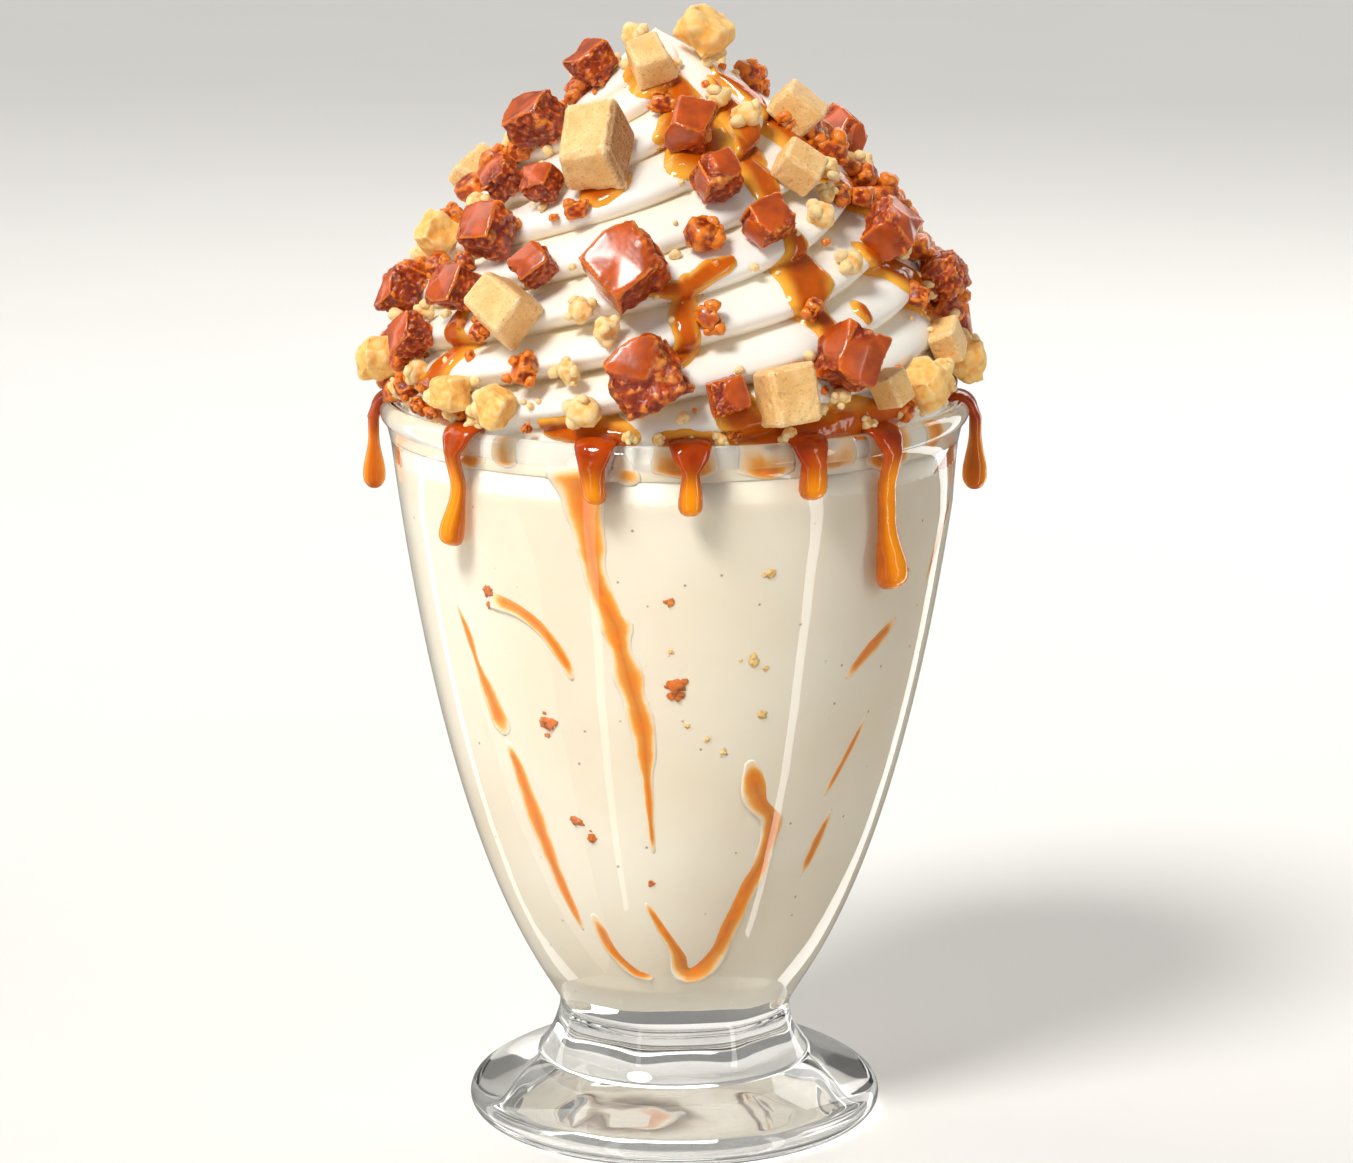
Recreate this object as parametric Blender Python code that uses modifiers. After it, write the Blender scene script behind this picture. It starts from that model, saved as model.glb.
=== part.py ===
"""Vanilla milkshake in a panelled, footed glass, under piped cream with toffee, fudge, crumbs and caramel."""
import math
import random

import bmesh
import bpy
from mathutils import Matrix, Vector
from mathutils.geometry import interpolate_bezier

MM = 0.001
CLEARANCE = 0.3 * MM

# Glass: outside points as radius and height, with the handles of the curves between them
FOOT_CONTACT = (31.0 * MM, 0.0)
FOOT_EDGE_HANDLES = ((34.6 * MM, 0.0), (36.9 * MM, 2.6 * MM))
FOOT_EDGE = (35.0 * MM, 5.3 * MM)
SHOULDER_HANDLES = ((33.5 * MM, 7.2 * MM), (26.5 * MM, 10.0 * MM))
SHOULDER = (23.6 * MM, 11.3 * MM)
NECK_HANDLES = ((21.8 * MM, 13.4 * MM), (20.0 * MM, 16.2 * MM))
NECK = (19.9 * MM, 19.3 * MM)
BOWL_HANDLES = ((18.3 * MM, 23.6 * MM), (37.7 * MM, 33.4 * MM))
BOWL_TOP = (48.2 * MM, 119.5 * MM)
BEAD_RADIUS = 2.05 * MM
BEAD_CENTRE = (48.0 * MM, 124.7 * MM)
RIM_TOP = BEAD_CENTRE[1] + BEAD_RADIUS
FLOOR = (0.0, 24.8 * MM)
FLOOR_HANDLES = ((9.0 * MM, 24.8 * MM), (16.5 * MM, 24.9 * MM))
CAVITY_CORNER = (20.5 * MM, 28.0 * MM)
CAVITY_HANDLES = ((26.2 * MM, 37.0 * MM), (38.3 * MM, 59.2 * MM))
CAVITY_TOP = (45.95 * MM, 119.8 * MM)

# Panels pressed into the neck and the bowl
PANEL_COUNT = 8
PANEL_FLATNESS = 0.45
PANEL_SWELL = 1.035
PANEL_MIDDLE_AZIMUTH = math.radians(5.9)
PANEL_FEET = (12 * MM, 17 * MM)
PANEL_HEADS = (110 * MM, 119 * MM)
STEPS_ROUND = 40

# Milkshake and the piped cream above it
SHAKE_TOP = 121.0 * MM
CREAM_BASE = SHAKE_TOP + CLEARANCE
CREAM_BASE_RADIUS = 44.6 * MM
CREAM_RADIUS = 46.4 * MM
CREAM_WIDEST = 131 * MM
CREAM_TIP = 189.0 * MM
CREAM_ROUNDING = 1.8
CREAM_LEAN = 3.2 * MM
LEAN_START = 172 * MM
RIDGE_COUNT = 8
RIDGE_DEPTH = 3.4 * MM
RIDGE_TURN = math.radians(5.8) / MM
RIDGE_COLUMNS = 4
CREAM_ROW = 2.0 * MM

# Toppings big enough to be pieces of their own: azimuth in degrees, then height and size in mm, and spin
TOFFEE = [
    (-72, 183.4, 8.2, 10), (-67, 174.6, 10.1, 35), (-61, 165.6, 7.4, 60), (-43, 165.8, 6.7, 20),
    (-50, 158.4, 9.7, 15), (-78, 146.0, 8.4, 30), (-33, 154.0, 7.2, 50), (-10, 155.0, 13.1, 45),
    (24, 161.0, 8.2, 20), (7, 175.4, 8.6, 70), (13, 168.0, 8.4, 15), (-53, 149.3, 8.6, 5),
    (-64, 140.4, 7.6, 40), (-5, 138.7, 13.4, 28), (35, 140.0, 11.0, 60), (10, 135.2, 7.2, 12),
    (62, 157.6, 9.6, 33), (105, 170.0, 9.0, 20), (148, 160.0, 11.5, 35), (196, 171.0, 9.5, 50),
    (226, 150.0, 11.0, 15), (120, 141.0, 10.0, 65), (178, 137.5, 11.5, 30),
]
FUDGE = [
    (-14, 184.6, 8.2, 30), (-27, 172.0, 13.0, 12), (-37, 147.4, 11.2, 62), (21, 134.8, 10.8, 8),
    (46, 133.6, 6.8, 25), (43, 168.6, 8.4, 40), (68, 176.4, 9.0, 18), (70, 138.6, 7.2, 30),
    (165, 179.0, 9.0, 22), (250, 163.0, 9.5, 55), (207, 134.5, 10.0, 10),
]
COOKIE = [
    (62, 188.6, 9.6, 0), (-76, 155.6, 8.1, 20), (56, 133.6, 8.4, 40), (78, 148.6, 9.4, 10),
    (85, 133.2, 7.7, 55), (-79, 134.6, 8.6, 25), (-47, 133.0, 7.1, 5), (-35.5, 131.8, 7.1, 70),
    (140, 132.6, 8.4, 15), (235, 133.4, 8.8, 50), (190, 154.0, 9.0, 30),
]

# Smaller pieces, fused to the cream: azimuth, height and size
CREAM_BITS = [
    (-96, 186.6, 5.4), (112, 184.0, 5.2), (-98, 179.5, 5.0), (-96, 168.2, 6.0), (-92, 161.0, 6.4),
    (-95, 149.6, 6.2), (7, 158.6, 6.4), (-20, 147.2, 5.2), (-30.5, 137.8, 4.6), (-14, 144.6, 4.2),
    (7, 146.4, 5.4), (46, 153.0, 5.0), (37, 175.0, 6.2), (99, 179.4, 6.0), (93, 164.0, 5.6),
    (44, 160.2, 5.0), (-17, 132.0, 6.0), (31, 147.0, 4.4), (-29, 161.6, 4.4), (-21, 138.0, 4.6),
    (130, 150.0, 6.2), (160, 146.0, 5.6), (215, 162.0, 6.0), (240, 140.0, 5.4), (172, 166.0, 5.0),
    (205, 144.0, 5.6), (108, 131.6, 5.4), (222, 178.0, 5.2), (262, 134.0, 5.6), (262, 152.0, 5.4),
]

# Caramel runs on the cream: azimuth and height at each bend, with the half width there, in mm
CREAM_RUNS = [
    [(15, 181.0, 1.4), (22, 175.0, 2.6), (27, 168.0, 1.4)],
    [(33, 157.0, 1.8), (30, 151.0, 2.6), (27, 145.0, 2.0), (23, 141.0, 1.2)],
    [(3, 148.0, 1.6), (4, 142.0, 2.2), (4, 136.0, 1.2)],
    [(78, 168.0, 1.6), (79, 160.0, 2.4), (77, 155.0, 1.4)],
    [(175, 160.0, 1.8), (172, 151.0, 2.4), (168, 143.0, 1.2)],
]
RUN_HALF_THICKNESS = 0.9 * MM
RUN_SIDES = 4
RUN_STEP = 4.2 * MM
BIT_LIFT = 0.1

# Caramel over the rim: azimuth of the top and of the end, height of the end, half widths of neck and
# drop in mm, and how closely it clings to the wall
DRIPS = [
    (-87, -87, 111.0, 1.5, 2.2, 0.0), (-45, -50, 106.8, 1.6, 2.3, 1.0), (-15, -15, 117.0, 2.3, 1.9, 1.0),
    (3, 3, 115.3, 1.4, 2.0, 1.0), (26, 27, 117.0, 1.9, 2.4, 1.0), (44, 50, 99.3, 1.9, 2.9, 1.0),
    (86, 86, 111.0, 1.7, 2.4, 0.0), (128, 131, 104.0, 1.7, 2.5, 1.0), (168, 166, 113.0, 1.5, 2.1, 1.0),
    (205, 208, 101.0, 1.8, 2.7, 1.0), (243, 241, 112.0, 1.5, 2.2, 1.0),
]
DRIP_FLATNESS = 0.62
DRIP_SIDES = 7
DRIP_MOUTH_WIDTH = 3.0 * MM
DRIP_STEP = 3.2 * MM
BEAD_ANGLES = (100, 75, 50, 25, 0)


def new_collection(name):
    group = bpy.data.collections.new(name)
    bpy.context.scene.collection.children.link(group)
    return group


def material(name, colour, roughness, metallic=0.0, transmission=0.0):
    finish = bpy.data.materials.new(name)
    finish.use_nodes = True
    shader = finish.node_tree.nodes["Principled BSDF"]
    shader.inputs["Base Color"].default_value = (*colour, 1)
    shader.inputs["Roughness"].default_value = roughness
    shader.inputs["Metallic"].default_value = metallic
    shader.inputs["Transmission Weight"].default_value = transmission
    return finish


def add_object(name, mesh, group, finish=None):
    item = bpy.data.objects.new(name, mesh)
    group.objects.link(item)
    if finish:
        mesh.materials.clear()
        mesh.materials.append(finish)
    return item


def applied(item):
    """Swap an object's mesh for the one that its modifiers give."""
    graph = bpy.context.evaluated_depsgraph_get()
    mesh = bpy.data.meshes.new_from_object(item.evaluated_get(graph))
    item.modifiers.clear()
    item.data = mesh
    return mesh


def curve_points(start, first_handle, second_handle, end, segments):
    points = interpolate_bezier(
        Vector((*start, 0)), Vector((*first_handle, 0)), Vector((*second_handle, 0)), Vector((*end, 0)),
        segments + 1)
    return [(point.x, point.y) for point in points]


def foot_curve(segments):
    """Rounded edge of the foot, its sloping shoulder and the hollow of the neck, from the floor up."""
    edge = curve_points(FOOT_CONTACT, *FOOT_EDGE_HANDLES, FOOT_EDGE, segments)
    shoulder = curve_points(FOOT_EDGE, *SHOULDER_HANDLES, SHOULDER, segments - 1)
    neck = curve_points(SHOULDER, *NECK_HANDLES, NECK, segments - 1)
    return edge + shoulder[1:] + neck[1:]


def bowl_curve(segments):
    """Outside of the bowl, from the neck up to under the bead."""
    return curve_points(NECK, *BOWL_HANDLES, BOWL_TOP, segments)


def bead_arc(segments, from_degrees, to_degrees, grow=0.0):
    radius = BEAD_RADIUS + grow
    points = []
    for step in range(segments + 1):
        angle = math.radians(from_degrees + (to_degrees - from_degrees) * step / segments)
        points.append((BEAD_CENTRE[0] + radius * math.cos(angle), BEAD_CENTRE[1] + radius * math.sin(angle)))
    return points


def cavity_curve(wall_segments, floor_segments):
    """Inside of the bowl, from the middle of its floor up to under the rim."""
    floor = curve_points(FLOOR, *FLOOR_HANDLES, CAVITY_CORNER, floor_segments)
    wall = curve_points(CAVITY_CORNER, *CAVITY_HANDLES, CAVITY_TOP, wall_segments)
    return floor + wall[1:]


def interpolate(points, height):
    """Radius at a height on an outline that only climbs."""
    for (low_radius, low), (high_radius, high) in zip(points, points[1:]):
        if height <= high:
            share = max(0.0, (height - low) / (high - low))
            return low_radius + (high_radius - low_radius) * share
    return points[-1][0]


def ramp(value, low, high):
    share = min(1.0, max(0.0, (value - low) / (high - low)))
    return share * share * (3 - 2 * share)


OUTSIDE = foot_curve(8) + bowl_curve(40)[1:]


def panel_factor(azimuth, height):
    """How far the flat panels draw the round wall in, and their edges push it out."""
    strength = ramp(height, *PANEL_FEET) * (1 - ramp(height, *PANEL_HEADS))
    half = math.pi / PANEL_COUNT
    turn = (azimuth - PANEL_MIDDLE_AZIMUTH + half) % (2 * half) - half
    flat = 1 - PANEL_FLATNESS * (1 - math.cos(half) / math.cos(turn))
    return 1 + strength * (PANEL_SWELL * flat - 1)


def wall_radius(azimuth, height):
    return interpolate(OUTSIDE, height) * panel_factor(azimuth, height)


def place(azimuth, radius, height):
    """Point at an azimuth counted from the front, counter-clockwise from above."""
    return Vector((radius * math.sin(azimuth), -radius * math.cos(azimuth), height))


def azimuth_of(point):
    return math.atan2(point.x, -point.y)


def turned(name, outline, group, finish):
    """Round body from an outline at +X, with one of its columns on a panel's edge."""
    mesh = bpy.data.meshes.new(name)
    vertices = [(radius, 0, height) for radius, height in outline]
    mesh.from_pydata(vertices, [(i, i + 1) for i in range(len(outline) - 1)], [])
    item = add_object(name, mesh, group)
    screw = item.modifiers.new("Turn", "SCREW")
    screw.steps = STEPS_ROUND
    screw.render_steps = STEPS_ROUND
    screw.use_merge_vertices = True
    screw.merge_threshold = 0.01 * MM
    mesh = applied(item)
    edge_azimuth = PANEL_MIDDLE_AZIMUTH + math.pi / PANEL_COUNT
    mesh.transform(Matrix.Rotation(edge_azimuth - math.pi / 2, 4, "Z"))
    mesh.materials.clear()
    mesh.materials.append(finish)
    return item


def make_glass(group, finish):
    inside = cavity_curve(7, 3)
    rim = bead_arc(6, 180, -62)
    outside = list(reversed(foot_curve(4)[:-1] + bowl_curve(9)))
    glass = turned("glass", inside + rim + outside + [(0, 0)], group, finish)
    for vertex in glass.data.vertices:
        point = vertex.co
        radius = math.hypot(point.x, point.y)
        outer = point.z < FLOOR[1] or radius > interpolate(OUTSIDE, point.z) - 1.2 * MM
        if outer and point.z < BOWL_TOP[1] and radius > 0:
            factor = panel_factor(azimuth_of(point), point.z)
            point.x *= factor
            point.y *= factor
    glass.data.shade_smooth()
    glass.data.set_sharp_from_angle(angle=math.radians(28))


def make_milkshake(group, finish):
    inside = cavity_curve(7, 3)
    fill = [(0, FLOOR[1] + CLEARANCE)]
    for (low_radius, low), (radius, height), (high_radius, high) in zip(inside, inside[1:], inside[2:]):
        away = Vector((high - low, low_radius - high_radius)).normalized() * CLEARANCE * 1.1
        fill.append((radius - away.x, height - away.y))
    top_radius = CAVITY_TOP[0] - CLEARANCE * 1.1
    fill += [(top_radius, SHAKE_TOP), (0, SHAKE_TOP)]
    milkshake = turned("milkshake", list(reversed(fill)), group, finish)
    milkshake.data.shade_smooth()
    milkshake.data.set_sharp_from_angle(angle=math.radians(40))


def mound_radius(height):
    """Outline of the piped mound, out to the crests of its ridges."""
    if height < CREAM_WIDEST:
        swell = ramp(height, RIM_TOP - MM, CREAM_WIDEST)
        return CREAM_BASE_RADIUS + (CREAM_RADIUS - CREAM_BASE_RADIUS) * swell
    share = min(1.0, (height - CREAM_WIDEST) / (CREAM_TIP - CREAM_WIDEST))
    return CREAM_RADIUS * (1 - share ** CREAM_ROUNDING)


def ridge_twist(height):
    return RIDGE_TURN * (height - CREAM_BASE)


def cream_surface(azimuth, height):
    """Radius of the ridged surface: plump ridges with sharp valleys that climb to the right."""
    crest = mound_radius(height)
    phase = RIDGE_COUNT * (azimuth - ridge_twist(height)) / 2
    drop = 1 - abs(math.cos(phase)) ** 0.75
    uneven = 1 + 0.25 * math.sin(2 * azimuth + height / (9 * MM))
    depth = RIDGE_DEPTH * uneven * min(1.0, crest / (22 * MM))
    return crest - depth * drop * (0.35 + 0.65 * ramp(height, CREAM_BASE, CREAM_WIDEST))


def cream_lean(height):
    share = max(0.0, height - LEAN_START) / (CREAM_TIP - LEAN_START)
    return Vector((-CREAM_LEAN * share ** 2, 0, 0))


def on_cream(azimuth, height, lift=0.0):
    return place(azimuth, cream_surface(azimuth, height) + lift, height) + cream_lean(height)


def loft(name, rings, first_tip, last_tip):
    """Closed skin over rings of equal point counts, drawn to a point at each end."""
    shape = bmesh.new()
    rows = [[shape.verts.new(point) for point in ring] for ring in rings]
    tips = (shape.verts.new(first_tip), shape.verts.new(last_tip))
    for i in range(len(rings[0])):
        j = (i + 1) % len(rings[0])
        shape.faces.new((tips[0], rows[0][j], rows[0][i]))
        shape.faces.new((tips[1], rows[-1][i], rows[-1][j]))
        for lower, upper in zip(rows, rows[1:]):
            shape.faces.new((lower[i], lower[j], upper[j]))
            shape.faces.new((lower[i], upper[j], upper[i]))
    bmesh.ops.recalc_face_normals(shape, faces=shape.faces)
    mesh = bpy.data.meshes.new(name)
    shape.to_mesh(mesh)
    shape.free()
    return mesh


def cream_mesh():
    columns = RIDGE_COUNT * RIDGE_COLUMNS
    row_count = round((CREAM_TIP - CREAM_BASE) / CREAM_ROW)
    rings = []
    for row in range(row_count):
        height = CREAM_BASE + (CREAM_TIP - 1.2 * MM - CREAM_BASE) * row / (row_count - 1)
        turn = ridge_twist(height)
        rings.append([on_cream(turn + math.tau * i / columns, height) for i in range(columns)])
    return loft("whipped_cream", rings, (0, 0, CREAM_BASE), on_cream(0, CREAM_TIP))


def swept(name, centres, sideways, outward, widths, thicknesses, sides):
    """Flattened strand along a path: each ring spreads sideways by its width and outward by its thickness."""
    rings = []
    for centre, side, out, width, thickness in zip(centres, sideways, outward, widths, thicknesses):
        ring = []
        for step in range(sides):
            angle = math.tau * step / sides
            ring.append(centre + side * width * math.cos(angle) + out * thickness * math.sin(angle))
        rings.append(ring)
    first = centres[0] + (centres[0] - centres[1]) * 0.6
    last = centres[-1] + (centres[-1] - centres[-2]).normalized() * widths[-1] * 0.9
    return loft(name, rings, first, last)


def run_mesh(name, bends):
    """Caramel that runs down over the ridges of the cream."""
    samples = []
    for (azimuth, height, width), (next_azimuth, next_height, next_width) in zip(bends, bends[1:]):
        length = math.hypot(next_height - height, math.radians(next_azimuth - azimuth) * 40)
        count = max(2, round(length * MM / RUN_STEP))
        for step in range(count):
            share = step / count
            samples.append((azimuth + (next_azimuth - azimuth) * share, height + (next_height - height) * share,
                            width + (next_width - width) * share))
    samples.append(bends[-1])
    centres = [on_cream(math.radians(azimuth), height * MM, 0.1 * MM) for azimuth, height, width in samples]
    outward = [place(math.radians(azimuth), 0.85, 0.5) for azimuth, height, width in samples]
    sideways = [place(math.radians(azimuth) + math.pi / 2, 1, 0) for azimuth, height, width in samples]
    widths = [width * MM for azimuth, height, width in samples]
    return swept(name, centres, sideways, outward, widths, [RUN_HALF_THICKNESS] * len(samples), RUN_SIDES)


def rough_block(name, size, seed, cuts, roundness, crumble, proportions):
    """Irregular lump: a cut-up cube whose corners are rounded off and whose far side crumbles."""
    chance = random.Random(seed)
    shape = bmesh.new()
    bmesh.ops.create_cube(shape, size=1)
    bmesh.ops.subdivide_edges(shape, edges=shape.edges, cuts=cuts, use_grid_fill=True)
    broken_side = Vector([chance.uniform(-1, 1) for _ in range(3)]).normalized()
    for vertex in shape.verts:
        ball = vertex.co.normalized() * 0.58
        vertex.co = vertex.co.lerp(ball, roundness)
        share = 0.35 + 0.65 * max(0.0, vertex.co.normalized().dot(broken_side))
        push = Vector([chance.uniform(-1, 1) for _ in range(3)]) * crumble * share
        vertex.co += push
    shape.transform(Matrix.Diagonal((*proportions, 1)))
    shape.transform(Matrix.Scale(size, 4))
    bmesh.ops.triangulate(shape, faces=shape.faces)
    bmesh.ops.recalc_face_normals(shape, faces=shape.faces)
    mesh = bpy.data.meshes.new(name)
    shape.to_mesh(mesh)
    shape.free()
    return mesh


def fudge_block(name, size, seed):
    """Cut cube or wedge with softened edges."""
    chance = random.Random(seed)
    shape = bmesh.new()
    bmesh.ops.create_cube(shape, size=1)
    lean = Vector((chance.uniform(-0.16, 0.16), chance.uniform(-0.16, 0.16), 0))
    taper = chance.uniform(0.72, 0.98)
    for vertex in shape.verts:
        if vertex.co.z > 0:
            vertex.co = Vector((vertex.co.x * taper, vertex.co.y, vertex.co.z)) + lean
        vertex.co += Vector([chance.uniform(-0.05, 0.05) for _ in range(3)])
    shape.transform(Matrix.Diagonal((0.80, 0.86, chance.uniform(0.66, 0.78), 1)))
    shape.transform(Matrix.Scale(size, 4))
    bmesh.ops.bevel(shape, geom=list(shape.edges), offset=size * 0.06, segments=1, affect="EDGES")
    bmesh.ops.triangulate(shape, faces=shape.faces)
    mesh = bpy.data.meshes.new(name)
    shape.to_mesh(mesh)
    shape.free()
    return mesh


def mound_normal(azimuth, height):
    slope = (mound_radius(height + MM) - mound_radius(height - MM)) / (2 * MM)
    return place(azimuth, 1, -slope).normalized()


def seat(azimuth, height, spin, lift):
    """Frame of a piece whose middle is at a height, lifted off the crests with its own up pointing out."""
    foot = height
    for _ in range(12):
        foot = (foot + height - mound_normal(azimuth, foot).z * lift) / 2
    out = mound_normal(azimuth, foot)
    side = place(azimuth + math.pi / 2, 1, 0)
    turn = Matrix((side, out.cross(side), out)).transposed().to_4x4()
    centre = place(azimuth, mound_radius(foot), foot) + cream_lean(foot) + out * lift
    return Matrix.Translation(centre) @ turn @ Matrix.Rotation(math.radians(spin), 4, "Z")


def topping_mesh(kind, name, size, seed):
    if kind == "fudge":
        return fudge_block(name, size, seed)
    if kind == "toffee":
        return rough_block(name, size, seed, 1, 0.3, 0.10, (0.88, 0.82, 0.76))
    return rough_block(name, size, seed, 1, 0.62, 0.10, (0.92, 0.84, 0.78))


def make_toppings(group, finishes):
    for kind, rows in (("toffee", TOFFEE), ("fudge", FUDGE), ("cookie", COOKIE)):
        for number, (azimuth, height, size, spin) in enumerate(rows, start=1):
            name = f"{kind}_{number}"
            mesh = topping_mesh(kind, name, size * MM, number * 7 + len(kind))
            lift = CLEARANCE - min(vertex.co.z for vertex in mesh.vertices)
            item = add_object(name, mesh, group, finishes[kind])
            item.matrix_world = seat(math.radians(azimuth), height * MM, spin, lift)


def drip_mesh(name, top_azimuth, end_azimuth, end_height, neck, drop, cling):
    """Caramel that creeps over the bead and runs down the wall or hangs free, ending in a drop."""
    rest = DRIP_MOUTH_WIDTH * DRIP_FLATNESS * 0.5
    centres, sideways, outward, widths, thicknesses = [], [], [], [], []
    for angle in BEAD_ANGLES:
        radius, height = bead_arc(1, angle, angle, CLEARANCE + rest)[0]
        centres.append(place(top_azimuth, radius, height))
        sideways.append(place(top_azimuth + math.pi / 2, 1, 0))
        outward.append(place(top_azimuth, math.cos(math.radians(angle)), math.sin(math.radians(angle))))
        widths.append(DRIP_MOUTH_WIDTH)
        thicknesses.append(rest)
    hanging_radius = BEAD_CENTRE[0] + BEAD_RADIUS + CLEARANCE + rest
    start_height = BEAD_CENTRE[1] - 3.0 * MM
    last_height = end_height + drop * 0.9
    count = max(3, round((start_height - last_height) / DRIP_STEP))
    for step in range(count + 1):
        share = step / count
        height = start_height + (last_height - start_height) * share
        azimuth = top_azimuth + (end_azimuth - top_azimuth) * share
        swell = ramp(share, 0.55, 0.9)
        mouth = DRIP_MOUTH_WIDTH * 0.8 * (1 - ramp(share, -0.2, 0.35))
        width = max(mouth, neck + (drop - neck) * swell)
        thickness = DRIP_FLATNESS * (neck + (drop - neck) * swell)
        edges = [wall_radius(azimuth + side * width / BOWL_TOP[0], height) for side in (-0.8, 0, 0.8)]
        clinging_radius = max(edges) + CLEARANCE + thickness
        radius = hanging_radius + (clinging_radius - hanging_radius) * cling * ramp(share, 0, 0.25)
        centres.append(place(azimuth, max(radius, clinging_radius), height))
        sideways.append(place(azimuth + math.pi / 2, 1, 0))
        outward.append(place(azimuth, 1, 0))
        widths.append(width)
        thicknesses.append(thickness)
    return swept(name, centres, sideways, outward, widths, thicknesses, DRIP_SIDES)


def make_drips(group, finish):
    for number, (top, end, height, neck, drop, cling) in enumerate(DRIPS, start=1):
        name = f"caramel_drip_{number}"
        turns = (math.radians(top), math.radians(end))
        mesh = drip_mesh(name, *turns, height * MM, neck * MM, drop * MM, cling)
        item = add_object(name, mesh, group, finish)
        item.data.shade_smooth()


def boolean(item, operation, tools):
    joiner = item.modifiers.new(operation.title(), "BOOLEAN")
    joiner.operation = operation
    joiner.operand_type = "COLLECTION"
    joiner.collection = tools
    joiner.solver = "EXACT"
    applied(item)


def remove_collection(group):
    for item in list(group.objects):
        bpy.data.objects.remove(item)
    bpy.data.collections.remove(group)


def keep_largest_body(mesh):
    """Weld what a cut leaves doubled, and drop scraps that it frees."""
    shape = bmesh.new()
    shape.from_mesh(mesh)
    bmesh.ops.remove_doubles(shape, verts=shape.verts, dist=0.001 * MM)
    bmesh.ops.triangulate(shape, faces=shape.faces)
    unseen = set(shape.verts)
    bodies = []
    while unseen:
        edge_of_body = [unseen.pop()]
        body = set(edge_of_body)
        while edge_of_body:
            vertex = edge_of_body.pop()
            for edge in vertex.link_edges:
                other = edge.other_vert(vertex)
                if other in unseen:
                    unseen.remove(other)
                    body.add(other)
                    edge_of_body.append(other)
        bodies.append(body)
    bodies.sort(key=len, reverse=True)
    loose = [vertex for body in bodies[1:] for vertex in body]
    bmesh.ops.delete(shape, geom=loose, context="VERTS")
    shape.to_mesh(mesh)
    shape.free()


def make_cream(group, finish):
    cream = add_object("whipped_cream", cream_mesh(), group)
    fused = new_collection("fused pieces")
    for number, (azimuth, height, size) in enumerate(CREAM_BITS, start=1):
        mesh = rough_block(f"bit_{number}", size * MM, 100 + number, 0, 0.45, 0.08, (0.95, 0.9, 0.85))
        bit = add_object(mesh.name, mesh, fused)
        bit.matrix_world = seat(math.radians(azimuth), height * MM, 37 * number, size * MM * BIT_LIFT)
    for number, bends in enumerate(CREAM_RUNS, start=1):
        add_object(f"run_{number}", run_mesh(f"run_{number}", bends), fused)
    bpy.context.view_layer.update()
    boolean(cream, "UNION", fused)
    remove_collection(fused)
    keep_largest_body(cream.data)
    cream.data.materials.clear()
    cream.data.materials.append(finish)


def main():
    for item in list(bpy.data.objects):
        bpy.data.objects.remove(item)
    group = new_collection("Vanilla milkshake")
    finishes = {
        "glass": material("Clear glass", (0.95, 0.97, 0.96), 0.03, transmission=1.0),
        "milkshake": material("Vanilla milkshake", (0.88, 0.82, 0.68), 0.45),
        "cream": material("Whipped cream", (0.96, 0.94, 0.90), 0.5),
        "toffee": material("Toffee", (0.42, 0.10, 0.02), 0.3),
        "fudge": material("Fudge", (0.78, 0.50, 0.24), 0.55),
        "cookie": material("Cookie crumb", (0.86, 0.62, 0.32), 0.8),
        "caramel": material("Caramel", (0.62, 0.22, 0.03), 0.15),
    }
    make_glass(group, finishes["glass"])
    make_milkshake(group, finishes["milkshake"])
    make_toppings(group, finishes)
    make_drips(group, finishes["caramel"])
    make_cream(group, finishes["cream"])


main()
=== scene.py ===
"""Looks of a vanilla milkshake: panelled glass, drink with caramel streaks, piped cream, toppings and caramel."""
import math
import random

import bmesh
import bpy
from mathutils import Matrix, Vector, kdtree, noise
from mathutils.geometry import interpolate_bezier


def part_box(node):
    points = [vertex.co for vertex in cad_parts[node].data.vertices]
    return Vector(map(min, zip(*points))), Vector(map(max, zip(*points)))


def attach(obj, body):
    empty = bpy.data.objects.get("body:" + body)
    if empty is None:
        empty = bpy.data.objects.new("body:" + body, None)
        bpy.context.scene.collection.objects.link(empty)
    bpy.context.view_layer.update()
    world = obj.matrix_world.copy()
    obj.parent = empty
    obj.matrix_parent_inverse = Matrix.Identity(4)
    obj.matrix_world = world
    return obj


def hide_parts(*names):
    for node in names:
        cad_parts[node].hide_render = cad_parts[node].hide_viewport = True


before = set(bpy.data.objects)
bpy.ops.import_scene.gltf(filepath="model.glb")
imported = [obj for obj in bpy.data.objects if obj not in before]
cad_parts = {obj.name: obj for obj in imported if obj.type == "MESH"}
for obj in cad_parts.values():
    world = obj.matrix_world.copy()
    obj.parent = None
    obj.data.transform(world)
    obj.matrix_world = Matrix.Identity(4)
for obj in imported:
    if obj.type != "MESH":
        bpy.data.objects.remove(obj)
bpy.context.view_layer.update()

bl_info = {
    "name": "Vanilla milkshake",
    "version": (1, 0, 0),
    "blender": (4, 5, 0),
    "location": "3D View > Sidebar > Milkshake",
    "description": "Dresses the solids of a vanilla milkshake in glass, cream, toffee, fudge, crumbs and caramel",
    "category": "Object",
}

MM = 0.001
BODY = "root"

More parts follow.
